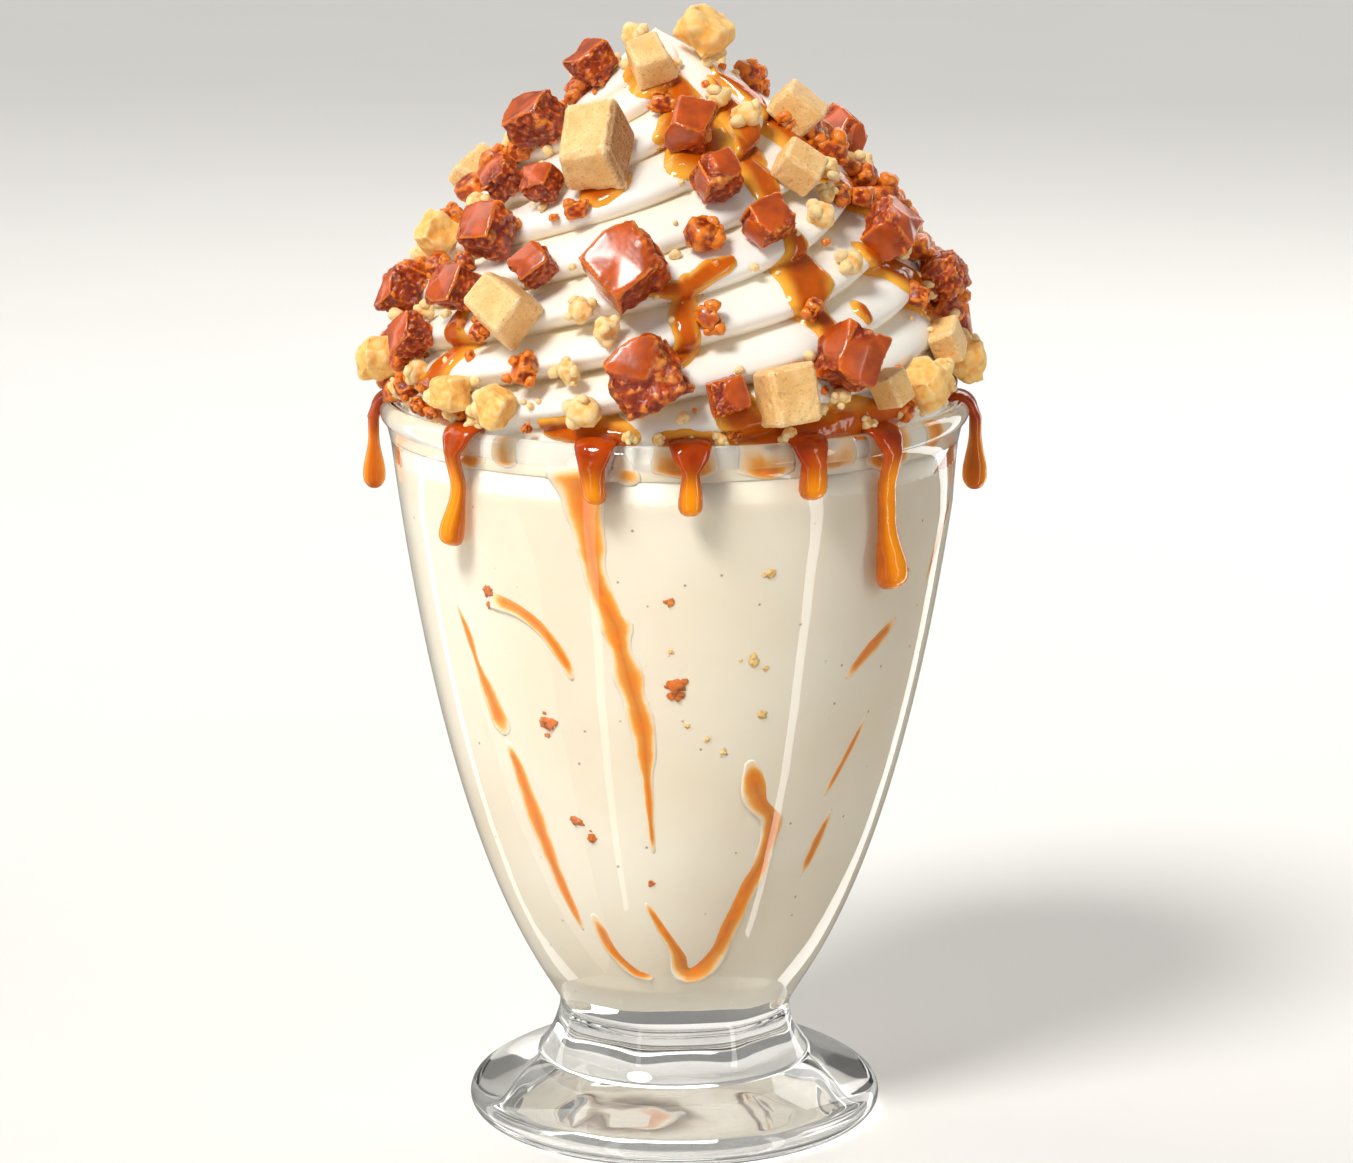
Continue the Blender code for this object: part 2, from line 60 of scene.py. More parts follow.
# Outline of the glass, as the solids have it: radius and height
FOOT_CONTACT = (31.0 * MM, 0.0)
FOOT_EDGE_HANDLES = ((34.6 * MM, 0.0), (36.9 * MM, 2.6 * MM))
FOOT_EDGE = (35.0 * MM, 5.3 * MM)
SHOULDER_HANDLES = ((33.5 * MM, 7.2 * MM), (26.5 * MM, 10.0 * MM))
SHOULDER = (23.6 * MM, 11.3 * MM)
NECK_HANDLES = ((21.8 * MM, 13.4 * MM), (20.0 * MM, 16.2 * MM))
NECK = (19.9 * MM, 19.3 * MM)
BOWL_HANDLES = ((18.3 * MM, 23.6 * MM), (37.7 * MM, 33.4 * MM))
BOWL_TOP = (48.2 * MM, 119.5 * MM)
BEAD_RADIUS = 2.05 * MM
BEAD_CENTRE = (48.0 * MM, 124.7 * MM)
RIM_TOP = BEAD_CENTRE[1] + BEAD_RADIUS
FLOOR = (0.0, 24.8 * MM)
FLOOR_HANDLES = ((9.0 * MM, 24.8 * MM), (16.5 * MM, 24.9 * MM))
CAVITY_CORNER = (20.5 * MM, 28.0 * MM)
CAVITY_HANDLES = ((26.2 * MM, 37.0 * MM), (38.3 * MM, 59.2 * MM))
CAVITY_TOP = (45.95 * MM, 119.8 * MM)
PANEL_COUNT = 8
PANEL_FLATNESS = 0.45
PANEL_SWELL = 1.035
RIDGE_ROUNDING = math.radians(9.0)
PANEL_MIDDLE_AZIMUTH = math.radians(5.9)
PANEL_FEET = (12 * MM, 17 * MM)
PANEL_HEADS = (110 * MM, 119 * MM)
OUTER_MARGIN = 1.2 * MM
INTO_THE_WALL = 0.05 * MM

# Drink and piped cream. The crests stand CREST_REACH out over the cream's own outline.
DRINK_TOP = 121.0 * MM
DRINK_STEPS = 128
CREAM_BASE = 120.9 * MM
CREAM_RADIUS = 46.4 * MM
CREAM_WIDEST = 131 * MM
CREAM_TIP = 189.0 * MM
CREAM_ROUNDING = 1.8
CREAM_LEAN = 3.2 * MM
LEAN_START = 172 * MM
RIDGE_COUNT = 8
RIDGE_TURN = math.radians(5.8) / MM
RIDGE_START = 121.3 * MM
CREST_SHARE = 0.6
CREST_REACH = 1.2 * MM
SWELL_HEIGHT = 0.7 * MM
SWELL_LENGTH = 13 * MM
CREAM_COLUMNS = 360
CREAM_ROWS = 204
SUNK_BAND = (123.0 * MM, 124.6 * MM)

# Smaller pieces on the cream: azimuth, height and size in mm
TOFFEE_BITS = [
    (-92, 161, 6.4), (7, 158.6, 6.4), (-30.5, 137.8, 5.4), (7, 146.4, 5.4), (99, 179.4, 6), (31, 147, 4),
    (-29, 161.6, 4.6), (130, 150, 6.2), (240, 140, 5.4), (172, 166, 5), (262, 134, 5.6),
    (84, 160.5, 7.6), (81, 142.5, 7.4), (72, 172, 7.2), (90, 148.5, 7.4), (66, 173.5, 5.4), (-80, 165.5, 6.8),
    (-85, 147.5, 6.4), (-78, 129.8, 5.4), (97, 157, 7), (93, 138, 7),
    (74, 168.5, 6.6), (83, 163.5, 5.6), (88, 157.5, 6.4), (79, 152.5, 6.8), (86, 146, 5.8), (92, 140.5, 6),
    (69, 161.5, 4.6), (77, 175, 5.6), (90, 170.5, 5), (96, 151.5, 5.4), (66, 146, 4.2), (58, 162.5, 4),
    (-82, 178, 5.2), (-88, 171.5, 5), (-76, 168.5, 4.8), (-84, 156, 5.4), (-70, 150.5, 4.8), (-88, 142.5, 5.6),
    (-82, 137, 5), (-71, 135, 4.6), (-66, 131.5, 5), (-58, 152, 4.2), (-44, 142.5, 3.6), (-6, 177.5, 4.6),
]
PALE_BITS = [
    (-96, 186.6, 5.4), (112, 184, 5.2), (-98, 179.5, 5), (-96, 168.2, 6), (-95, 149.6, 6.2), (-20, 147.2, 5.4),
    (-14, 144.6, 5.2), (46, 153, 5.2), (37, 175, 6.2), (93, 164, 5.6), (44, 160.2, 5.4), (-17, 132, 6.4),
    (-21, 138, 4.8), (160, 146, 5.6), (215, 162, 6), (205, 144, 5.6), (108, 131.6, 5.4), (222, 178, 5.2),
    (262, 152, 5.4),
    (85, 154.5, 5.6), (75, 146.5, 5.6), (90, 135.5, 6), (81, 141, 5), (87, 165.5, 5), (71, 153, 4.4),
    (62, 166.5, 4.8), (80, 171.5, 4.6), (94, 145.5, 5), (66, 134, 5.2), (52, 163, 3.6), (30, 178, 4.4),
    (-84, 164.5, 5.4), (-70, 160, 5), (-88, 150.5, 5), (-75, 140.5, 5.2), (-86, 133, 5.6), (-62, 134.5, 4.8),
    (-72, 171, 5.6), (-66, 143.5, 4.4), (-40, 131, 5), (-52, 131.5, 5.2), (34, 133.5, 4), (-80, 182.5, 4.6),
]
# Loose crumbs along the rim
RIM_TOFFEE = [(-62, 129, 3.4), (-57, 128.4, 2.6), (-30, 128.6, 2), (12, 128.2, 2.4), (52, 129.5, 3.6)]
RIM_PALE = [
    (-66, 129.5, 3.6), (-50, 128.8, 3), (-43, 128.6, 3.4), (-9, 128.3, 2.8), (-3, 127.9, 2.4), (3, 127.7, 2.2),
    (9, 127.8, 2.6), (23, 127.9, 3.6), (41, 128.5, 3.4), (60, 129.4, 3.8), (66, 129.6, 3.2), (-75, 130.2, 3.4),
]

# Caramel on the cream: azimuth and height at each bend, with the half width there, in mm
SAUCE_RUNS = [
    [(5, 180.5, 3), (8, 175, 4.6), (11, 169.5, 3.6)],
    [(-34, 186, 2.2), (-20, 183, 3), (-4, 181.6, 2)],
    [(28, 172, 1.6), (31, 166, 2.4), (32, 161, 1.6)],
    [(33, 158.5, 1.8), (33, 154, 3.2), (31.5, 150, 4.2), (33, 146, 2), (36, 141.5, 2.2)],
    [(14, 155, 0.9), (7, 153, 1.6), (2, 151, 1.4), (-6, 150.5, 0.9)],
    [(3, 151.5, 1.8), (2, 147, 2), (3, 142, 1.7), (-3, 138.5, 1.4)],
    [(62, 169, 2.2), (70, 163.5, 2.6), (78, 158, 1.8)], [(40, 180, 2), (36, 174, 2.6), (33, 169.5, 2.2)],
    [(56, 180.5, 2), (62, 175, 2.8), (58, 169.5, 2.2), (52, 165.5, 1.4)],
    [(86, 156, 2.4), (88, 150, 3), (87, 144, 2)],
    [(56, 154, 2), (66, 150.5, 3), (72, 145, 2.2), (74, 139, 1.2)],
    [(45.5, 146, 1.5), (46, 144.6, 1)],
    [(13, 135, 1.8), (13, 131, 3.2), (18, 128.8, 3.4), (28, 128.4, 3), (38, 128.4, 3.2), (48, 128.6, 3.4),
     (54, 129.2, 2.4)],
    [(-55, 148, 1.4), (-53, 141, 2), (-56, 134, 2.4), (-60, 129.8, 3), (-48, 128.6, 2)],
    [(-34, 166, 1.2), (-24, 164.6, 1.8), (-17, 166.5, 1.2)],
    [(-27, 128.6, 1.6), (-14, 128.2, 2.2), (-8, 127.9, 1.4)],
    [(-3, 127.6, 1.3), (4, 127.4, 1.7), (9, 127.5, 1.3)],
    [(-84, 131, 2.2), (-88, 128.6, 3)], [(84, 131, 2.4), (87, 128.6, 3)],
    [(175, 160, 2), (172, 151, 2.8), (168, 143, 1.6)], [(128, 134, 1.6), (128, 129, 3), (140, 128.2, 1.6)],
    [(205, 138, 1.6), (206, 132, 2.6), (206, 128.6, 3)], [(243, 140, 1.6), (243, 129, 2.8)],
    [(120, 172, 1.8), (124, 163, 2.6), (122, 156, 1.4)],
    [(238, 172, 1.8), (236, 163, 2.4), (232, 155, 1.2)],
    [(168, 132, 2), (168, 128.6, 2.8)],
]

# Caramel over the rim: azimuth of the top and of the end, height of the end, half widths of neck and
# drop in mm, and how closely it clings to the wall
DRIPS = [
    (-87, -87, 111, 1.5, 2.2, 0), (-45, -50, 106.8, 1.6, 2.3, 1), (-15, -15, 117, 2.3, 1.9, 1),
    (3, 3, 115.3, 1.4, 2, 1), (26, 27, 117, 1.9, 2.4, 1), (44, 50, 99.3, 1.9, 2.9, 1),
    (86, 86, 111, 1.7, 2.4, 0), (128, 131, 104, 1.7, 2.5, 1), (168, 166, 113, 1.5, 2.1, 1),
    (205, 208, 101, 1.8, 2.7, 1), (243, 241, 112, 1.5, 2.2, 1),
]
DRIP_FLATNESS = 0.62
DRIP_COAT = 1.0 * MM
DRIP_STEP = 0.5 * MM
DRIP_SIDES = 20
DRIP_MOUTH_WIDTH = 2.7 * MM
DRIP_CREST_WIDTH = 0.8 * MM
# Degrees round the bead, from the cream over its top to the outside, and where the caramel tapers towards the cream
BEAD_ANGLES = (146, 132, 118, 104, 92, 80, 68, 56, 44, 32, 20, 8)
DRIP_TAPER_FROM = 104
DRIP_TAPER_OVER = 50

# Caramel in the drink, against the wall: azimuth, height and half width at each bend, in mm
STREAKS = [
    [(-20, 123.8, 4.6), (-19, 119, 3.4), (-17.5, 112, 2.3), (-16.5, 105, 1.8), (-14, 98.5, 1.9), (-12.5, 96, 2.2),
     (-12, 93, 1.5), (-10, 86, 1.8), (-7.5, 78, 1.7), (-7, 70, 1), (-6.5, 62, 0.6), (-6, 56, 0.3)],
    [(-55, 96, 0.4), (-52.5, 91, 0.9), (-51, 86, 0.7), (-48, 80, 1.5), (-46.5, 76.5, 1.9), (-46, 74.5, 0.9)],
    [(-45.5, 73, 0.7), (-43, 68, 1.3), (-40, 58, 1.6), (-37, 49, 1.2), (-33, 40, 0.4)],
    [(-43, 99, 1.5), (-36, 97.6, 1.3), (-30, 94.8, 1.3), (-25, 90, 0.9), (-23.5, 86.5, 0.4)],
    [(-27, 43, 0.6), (-23, 37, 1), (-16, 33, 0.9), (-9, 31.5, 0.6)],
    [(19, 72, 0.8), (21, 68, 1.9), (23, 65, 2.2), (27, 61, 1.4), (26, 54, 1.3), (23.5, 50, 1.8), (20, 44, 1.3),
     (15, 37, 1.9), (6, 33, 2.6), (1, 37, 1.4), (-5, 42, 0.7), (-9, 46, 0.3)],
    [(58, 93, 1), (50, 89.5, 1.6), (43, 85, 0.8)], [(53, 76.5, 0.4), (48, 70, 0.6), (43, 64, 0.3)],
    [(47, 60.5, 0.5), (44, 55, 1.2), (41, 49.5, 0.4)],
    [(78, 112, 0.5), (73, 104, 0.8), (70, 98, 0.3)],
    [(120, 112, 2), (117, 96, 1.6), (122, 80, 1.9), (126, 64, 1.2), (128, 56, 0.4)],
    [(150, 104, 0.6), (158, 98, 1.5), (165, 90, 1.2), (167, 84, 0.5)],
    [(184, 118, 2.6), (187, 104, 1.8), (190, 88, 1.7), (196, 74, 1.2), (198, 62, 0.4)],
    [(150, 66, 0.6), (160, 56, 1.6), (172, 44, 1.4), (186, 36, 1.8), (200, 38, 0.8)],
    [(228, 100, 0.6), (224, 88, 1.5), (218, 76, 1.1), (216, 66, 0.4)],
    [(250, 116, 1.6), (254, 104, 1.3), (252, 90, 1.5), (256, 76, 0.5)],
]
STREAK_STEP = 0.9
STREAK_SIDES = 14
STREAK_THICKNESS = 0.14 * MM
# Caramel that shows through the rim
WALL_CARAMEL = [
    [(-50, 124, 1), (-45, 122.6, 1.7), (-41, 123.4, 0.9)],
    [(-38, 124.2, 0.9), (-35, 123.4, 1.3), (-33, 124, 0.7)],
    [(-12, 123.6, 1), (-9, 122, 1.3), (-8, 120.6, 0.8)], [(-4, 124, 0.9), (3, 123.2, 1.5), (8, 124, 0.8)],
    [(13, 124, 1.2), (19, 122.8, 1.8), (24, 123.6, 0.9)], [(27, 124.2, 0.9), (33, 123.2, 1.5), (38, 123.8, 0.9)],
    [(42, 124, 1.4), (48, 122.4, 2.4), (54, 123.4, 1.5)], [(60, 124.2, 0.8), (64, 123.6, 1.2), (68, 124.2, 0.6)],
    [(110, 123.5, 1.2), (122, 122.6, 1.8), (130, 123.6, 1)],
    [(180, 123.6, 1.2), (188, 122.4, 1.9), (196, 123.6, 1)],
    [(236, 123.6, 1.4), (243, 122.8, 1.8), (250, 124, 0.8)],
]
# Specks of toffee and crumb against the wall: azimuth, height, size and whether pale
SPECKS = [
    (0.5, 86.5, 4.2, 0), (-31, 78.5, 3.4, 0), (-27, 61, 2.6, 0), (-23, 58, 2, 0), (18, 90, 2.6, 1),
    (20.5, 105, 2, 1), (21, 80.5, 2, 1), (-1, 100.5, 1.6, 0), (-1, 92, 1, 1), (3, 79, 1.2, 1),
    (8, 76.5, 1.2, 1), (12, 74, 1.3, 1), (-7, 50, 1.2, 0), (-44, 100, 2.6, 0),
    (60, 101, 1.4, 1), (100, 90, 3, 0), (140, 82, 2.6, 1), (175, 70, 3.2, 0),
    (210, 92, 2.8, 0), (240, 62, 2.4, 1), (268, 84, 2.8, 0),
]

# Soft lights: name, azimuth in degrees, distance, height of the middle, width, length and watts. The tall ones
# reach below the floor, where only the glass mirrors them.
LIGHTS = [
    ("left_light", -84, 1.0, -0.4, 0.5, 2.2, 2.2),
    ("upper_left_light", -113, 0.85, 0.98, 0.75, 0.75, 3.6),
    ("left_strip", -34, 1.15, -0.5, 0.15, 2.4, 2.6),
    ("right_strip", 58, 1.1, -0.5, 0.16, 2.4, 6.0),
    ("far_left_strip", -122, 1.0, -0.4, 0.14, 2.2, 2.2),
    ("far_right_strip", 138, 1.0, -0.4, 0.2, 2.2, 4.0),
    ("back_light", 166, 0.95, 0.8, 0.9, 0.5, 4.5),
]
LIGHT_COLOUR = (1.0, 0.985, 0.955)
SURROUNDINGS_COLOUR = (1.0, 0.985, 0.96)
KEY_PLACE = (-0.412, -0.527, 0.743)
KEY_ANGLE = math.radians(18)
FLOOR_SIZE = 16.0

CAMERA_PLACE = (0.00035, -0.7941, 0.2686)
CAMERA_TILT = math.radians(90 - 12.39)
CAMERA_LENS = 126.3
CAMERA_SENSOR = 36.0


def tint(red, green, blue):
    """Colour from the 0 to 255 values that a screen shows."""
    def straight(value):
        share = value / 255
        return share / 12.92 if share <= 0.04045 else ((share + 0.055) / 1.055) ** 2.4
    return (straight(red), straight(green), straight(blue))


# Outline and surface functions
def curve_points(start, first_handle, second_handle, end, segments):
    points = interpolate_bezier(
        Vector((*start, 0)), Vector((*first_handle, 0)), Vector((*second_handle, 0)), Vector((*end, 0)), segments + 1)
    return [(point.x, point.y) for point in points]


def foot_curve(segments):
    edge = curve_points(FOOT_CONTACT, *FOOT_EDGE_HANDLES, FOOT_EDGE, segments)
    shoulder = curve_points(FOOT_EDGE, *SHOULDER_HANDLES, SHOULDER, segments)
    neck = curve_points(SHOULDER, *NECK_HANDLES, NECK, segments)
    return edge + shoulder[1:] + neck[1:]


def bowl_curve(segments):
    return curve_points(NECK, *BOWL_HANDLES, BOWL_TOP, segments)


def bead_point(degrees, grow=0.0):
    angle = math.radians(degrees)
    radius = BEAD_RADIUS + grow
    return (BEAD_CENTRE[0] + radius * math.cos(angle), BEAD_CENTRE[1] + radius * math.sin(angle))


def bead_arc(segments, from_degrees, to_degrees):
    return [bead_point(from_degrees + (to_degrees - from_degrees) * step / segments) for step in range(segments + 1)]


def cavity_curve(wall_segments, floor_segments):
    floor = curve_points(FLOOR, *FLOOR_HANDLES, CAVITY_CORNER, floor_segments)
    wall = curve_points(CAVITY_CORNER, *CAVITY_HANDLES, CAVITY_TOP, wall_segments)
    return floor + wall[1:]


def interpolate(points, height):
    """Radius at a height on an outline whose points rise."""
    for (low_radius, low), (high_radius, high) in zip(points, points[1:]):
        if height <= high:
            share = max(0.0, (height - low) / (high - low))
            return low_radius + (high_radius - low_radius) * share
    return points[-1][0]


def ramp(value, low, high):
    """Smooth step from 0 at low to 1 at high."""
    share = min(1.0, max(0.0, (value - low) / (high - low)))
    return share * share * (3 - 2 * share)


OUTSIDE = foot_curve(8) + bowl_curve(40)[1:]
CAVITY_WALL = cavity_curve(40, 8)[8:]


def panel_factor(azimuth, height):
    """How far the flat panels draw the round wall in, and the ridges between them push it out."""
    strength = ramp(height, *PANEL_FEET) * (1 - ramp(height, *PANEL_HEADS))
    half = math.pi / PANEL_COUNT
    turn = abs((azimuth - PANEL_MIDDLE_AZIMUTH + half) % (2 * half) - half)
    turn -= max(0.0, turn - half + RIDGE_ROUNDING) ** 2 / (2 * RIDGE_ROUNDING)
    flat = 1 - PANEL_FLATNESS * (1 - math.cos(half) / math.cos(turn))
    return 1 + strength * (PANEL_SWELL * flat - 1)


def wall_radius(azimuth, height):
    return interpolate(OUTSIDE, height) * panel_factor(azimuth, height)


def place(azimuth, radius, height):
    """Point round the axis. Azimuth 0 faces the camera, and it grows to the right."""
    return Vector((radius * math.sin(azimuth), -radius * math.cos(azimuth), height))


def azimuth_of(point):
    return math.atan2(point.x, -point.y)


def mound_radius(height):
    """Outline of the cream out to its crests: against the wall below the rim, plump above it."""
    if height < CREAM_WIDEST:
        in_glass = CAVITY_TOP[0] + INTO_THE_WALL
        return in_glass + (CREAM_RADIUS + CREST_REACH - in_glass) * ramp(height, BEAD_CENTRE[1], CREAM_WIDEST)
    share = min(1.0, (height - CREAM_WIDEST) / (CREAM_TIP - CREAM_WIDEST))
    return CREAM_RADIUS * (1 - share ** CREAM_ROUNDING) + CREST_REACH * (1 - share) ** 0.4


def ridge_twist(height):
    return RIDGE_TURN * (height - RIDGE_START)


def ridge_drop(azimuth, height, depth):
    """How far the surface lies below the crests: 0 on a crest, most in the sharp valleys."""
    across = (RIDGE_COUNT * (azimuth - ridge_twist(height)) / math.tau + 0.5) % 1
    across = across / 2 / CREST_SHARE if across < CREST_SHARE else 1 - (1 - across) / 2 / (1 - CREST_SHARE)
    drop = 1 - math.sin(math.pi * across) ** 0.66
    uneven = 1 + 0.25 * math.sin(2 * azimuth + height / (9 * MM))
    small = min(1.0, mound_radius(height) / (22 * MM))
    return depth * drop * uneven * small * ramp(height, BEAD_CENTRE[1] - MM, CREAM_WIDEST)


def swell(point, height):
    """How far the cream's surface swells out or sinks in, above the rim."""
    return noise.noise(point / SWELL_LENGTH) * SWELL_HEIGHT * ramp(height, RIM_TOP, CREAM_WIDEST)


def cream_lean(height):
    share = max(0.0, height - LEAN_START) / (CREAM_TIP - LEAN_START)
    return Vector((-CREAM_LEAN * share ** 2, 0, 0))


def mound_normal(azimuth, height):
    """Direction straight out of the cream's outline."""
    slope = (mound_radius(height + MM) - mound_radius(height - MM)) / (2 * MM)
    return place(azimuth, 1, -slope).normalized()


# Modelling steps
def clear_selection():
    if bpy.context.object and bpy.context.object.mode != "OBJECT":
        bpy.ops.object.mode_set(mode="OBJECT")
    bpy.ops.object.select_all(action="DESELECT")


def take(piece):
    """Select a piece alone and make it the active one."""
    clear_selection()
    piece.select_set(True)
    bpy.context.view_layer.objects.active = piece


def named(piece, name):
    piece.name = name
    piece.data.name = name
    return piece


def tidy_shell(piece, merge):
    """Merge doubled points and turn every face outwards."""
    take(piece)
    bpy.ops.object.mode_set(mode="EDIT")
    bpy.ops.mesh.select_all(action="SELECT")
    bpy.ops.mesh.remove_doubles(threshold=merge)
    bpy.ops.mesh.normals_make_consistent(inside=False)
    bpy.ops.object.mode_set(mode="OBJECT")


def apply_modifier(piece, kind, **settings):
    take(piece)
    modifier = piece.modifiers.new(kind.title(), kind)
    for key, value in settings.items():
        setattr(modifier, key, value)
    bpy.ops.object.modifier_apply(modifier=modifier.name)


def finish_piece(piece, finish, slot, *nodes):
    """Give a piece its material and body, and hide the nodes that it replaces. The slot is not used."""
    piece.data.materials.clear()
    piece.data.materials.append(finish)
    if "sharp_edge" not in piece.data.attributes:
        piece.data.shade_smooth()
    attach(piece, BODY)
    if nodes:
        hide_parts(*nodes)


def spun(name, outline, steps, azimuth):
    """Ring of points laid on an outline, opened along the axis and spun round it."""
    clear_selection()
    bpy.ops.mesh.primitive_circle_add(vertices=len(outline), radius=1)
    piece = named(bpy.context.object, name)
    for vertex, (radius, height) in zip(piece.data.vertices, outline):
        vertex.co = place(azimuth, radius, height)
    bpy.ops.object.mode_set(mode="EDIT")
    bpy.ops.mesh.select_all(action="DESELECT")
    shape = bmesh.from_edit_mesh(piece.data)
    ends = {0, len(outline) - 1}
    for edge in shape.edges:
        if {vertex.index for vertex in edge.verts} == ends:
            edge.select_set(True)
    bpy.ops.mesh.delete(type="EDGE")
    bpy.ops.mesh.select_all(action="SELECT")
    bpy.ops.mesh.spin(steps=steps, angle=math.tau, center=(0, 0, 0), axis=(0, 0, 1))
    tidy_shell(piece, 0.002 * MM)
    return piece


def drawn_ball(name, segments, rings, point_at):
    """Ball whose rings, counted from its upper pole, are drawn out to point_at(turn, ring), and its points' spots."""
    clear_selection()
    bpy.ops.mesh.primitive_uv_sphere_add(segments=segments, ring_count=rings, radius=1)
    piece = named(bpy.context.object, name)
    spots = []
    for vertex in piece.data.vertices:
        turn = math.atan2(vertex.co.y, vertex.co.x)
        ring = round(math.acos(max(-1.0, min(1.0, vertex.co.z))) / math.pi * rings)
        spots.append((turn, ring))
        vertex.co = point_at(turn, ring)
    return piece, spots


def mark(piece, name, values):
    """Keep a number for each point, for the material to read."""
    piece.data.attributes.new(name, "FLOAT", "POINT").data.foreach_set("value", values)


def joined(name, pieces):
    take(pieces[0])
    for piece in pieces:
        piece.select_set(True)
    bpy.ops.object.join()
    return named(bpy.context.object, name)


USUAL_RADIUS = 42


def smooth_path(bends, step):
    """Points on a smooth curve through the bends, about a step apart in mm: azimuth, height and half width."""
    points = [Vector(bend) for bend in bends]
    points = [points[0] * 2 - points[1]] + points + [points[-1] * 2 - points[-2]]
    samples = []
    for before, start, end, after in zip(points, points[1:], points[2:], points[3:]):
        length = math.hypot(end.y - start.y, math.radians(end.x - start.x) * USUAL_RADIUS)
        count = max(1, round(length / step))
        for i in range(count):
            t = i / count
            pull = (end - before) * t
            bow = (2 * before - 5 * start + 4 * end - after) * t * t
            turn = (3 * start - before - 3 * end + after) * t ** 3
            samples.append((2 * start + pull + bow + turn) / 2)
    return samples + [points[-2]]


CORE_FADE = 4


def strand(name, rings, sides):
    """Ball drawn out along rings of centre, sideways and outward reach. Its middle line is marked as its core."""
    last = len(rings) + 1
    first_tip = rings[0][0] + (rings[0][0] - rings[1][0]) * 0.5
    last_tip = rings[-1][0] + (rings[-1][0] - rings[-2][0]) * 0.5

    def point_at(turn, ring):
        if ring in (0, last):
            return last_tip if ring else first_tip
        centre, sideways, outward = rings[ring - 1]
        return centre + sideways * math.cos(turn) + outward * math.sin(turn)

    piece, spots = drawn_ball(name, sides, last, point_at)
    mark(piece, "core", [math.sin(turn) ** 2 * min(1.0, ring / CORE_FADE, (last - ring) / CORE_FADE)
                         for turn, ring in spots])
    tidy_shell(piece, 0.0005 * MM)
    return piece


# Shader node groups and materials. Cloud and grain sizes are in mm.
def add_node(tree, kind, inputs=None, **settings):
    node = tree.nodes.new(kind)
    for key, value in settings.items():
        setattr(node, key, value)
    for key, value in (inputs or {}).items():
        if isinstance(value, bpy.types.NodeSocket):
            tree.links.new(value, node.inputs[key])
        else:
            node.inputs[key].default_value = value
    return node


def blended(tree, factor, first, second):
    """Colour that goes from the first to the second with the factor."""
    node = add_node(tree, "ShaderNodeMix", {0: factor}, data_type="RGBA")
    for index, value in ((6, first), (7, second)):
        if isinstance(value, bpy.types.NodeSocket):
            tree.links.new(value, node.inputs[index])
        else:
            node.inputs[index].default_value = (*value, 1)
    return node.outputs[2]


def scaled(tree, value, low, high, from_low=0.0, from_high=1.0):
    """The value, moved from its own range to the one from low to high and kept within it."""
    node = add_node(tree, "ShaderNodeMapRange", {0: value, 1: from_low, 2: from_high, 3: low, 4: high})
    return node.outputs[0]


def maths(tree, operation, first, second):
    return add_node(tree, "ShaderNodeMath", {0: first, 1: second}, operation=operation).outputs[0]


def attribute(tree, name):
    return add_node(tree, "ShaderNodeAttribute", attribute_name=name).outputs["Fac"]


def bumped(tree, sockets, height, distance):
    bump = add_node(tree, "ShaderNodeBump", {"Height": height, "Distance": distance})
    tree.links.new(bump.outputs["Normal"], sockets["Normal"])


def new_group(name, inputs, outputs):
    tree = bpy.data.node_groups.new(name, "ShaderNodeTree")
    for label, kind, value in inputs:
        tree.interface.new_socket(label, in_out="INPUT", socket_type=kind).default_value = value
    for label, kind in outputs:
        tree.interface.new_socket(label, in_out="OUTPUT", socket_type=kind)
    return tree, tree.nodes.new("NodeGroupInput").outputs, tree.nodes.new("NodeGroupOutput").inputs


def mottle_group():
    """Soft clouds that swing between two colours, and a fine grain. Sizes are in mm."""
    tree, given, made = new_group(
        "Mottled tint",
        [("Light", "NodeSocketColor", (1, 1, 1, 1)), ("Dark", "NodeSocketColor", (0.5, 0.5, 0.5, 1)),
         ("Cloud size", "NodeSocketFloat", 5.0), ("Grain size", "NodeSocketFloat", 0.5)],
        [("Colour", "NodeSocketColor"), ("Clouds", "NodeSocketFloat"), ("Grain", "NodeSocketFloat")])
    where = add_node(tree, "ShaderNodeTexCoord").outputs["Object"]
    cloud_scale = maths(tree, "DIVIDE", 1000.0, given["Cloud size"])
    grain_scale = maths(tree, "DIVIDE", 1000.0, given["Grain size"])
    clouds = add_node(tree, "ShaderNodeTexNoise", {"Vector": where, "Scale": cloud_scale, "Detail": 3.0})
    grain = add_node(tree, "ShaderNodeTexNoise",
                     {"Vector": where, "Scale": grain_scale, "Detail": 4.0, "Roughness": 0.7})
    share = scaled(tree, clouds.outputs["Fac"], 0.0, 1.0, 0.36, 0.66)
    tree.links.new(blended(tree, share, given["Dark"], given["Light"]), made["Colour"])
    tree.links.new(share, made["Clouds"])
    tree.links.new(grain.outputs["Fac"], made["Grain"])
    return tree


def crumble_group():
    """Packed grains with gaps between them, for broken sides and crumbs. The size is in mm."""
    tree, given, made = new_group(
        "Crumbly surface", [("Grain size", "NodeSocketFloat", 0.8)], [("Height", "NodeSocketFloat")])
    where = add_node(tree, "ShaderNodeTexCoord").outputs["Object"]
    scale = maths(tree, "DIVIDE", 1000.0, given["Grain size"])
    grains = add_node(tree, "ShaderNodeTexVoronoi", {"Vector": where, "Scale": scale}, feature="F1")
    dust = add_node(tree, "ShaderNodeTexNoise", {"Vector": where, "Scale": scale, "Detail": 5.0, "Roughness": 0.7})
    gaps = scaled(tree, grains.outputs["Distance"], 0.0, 1.0, 0.25, 0.75)
    height = maths(tree, "MULTIPLY", maths(tree, "SUBTRACT", 1.0, gaps), dust.outputs["Fac"])
    tree.links.new(height, made["Height"])
    return tree


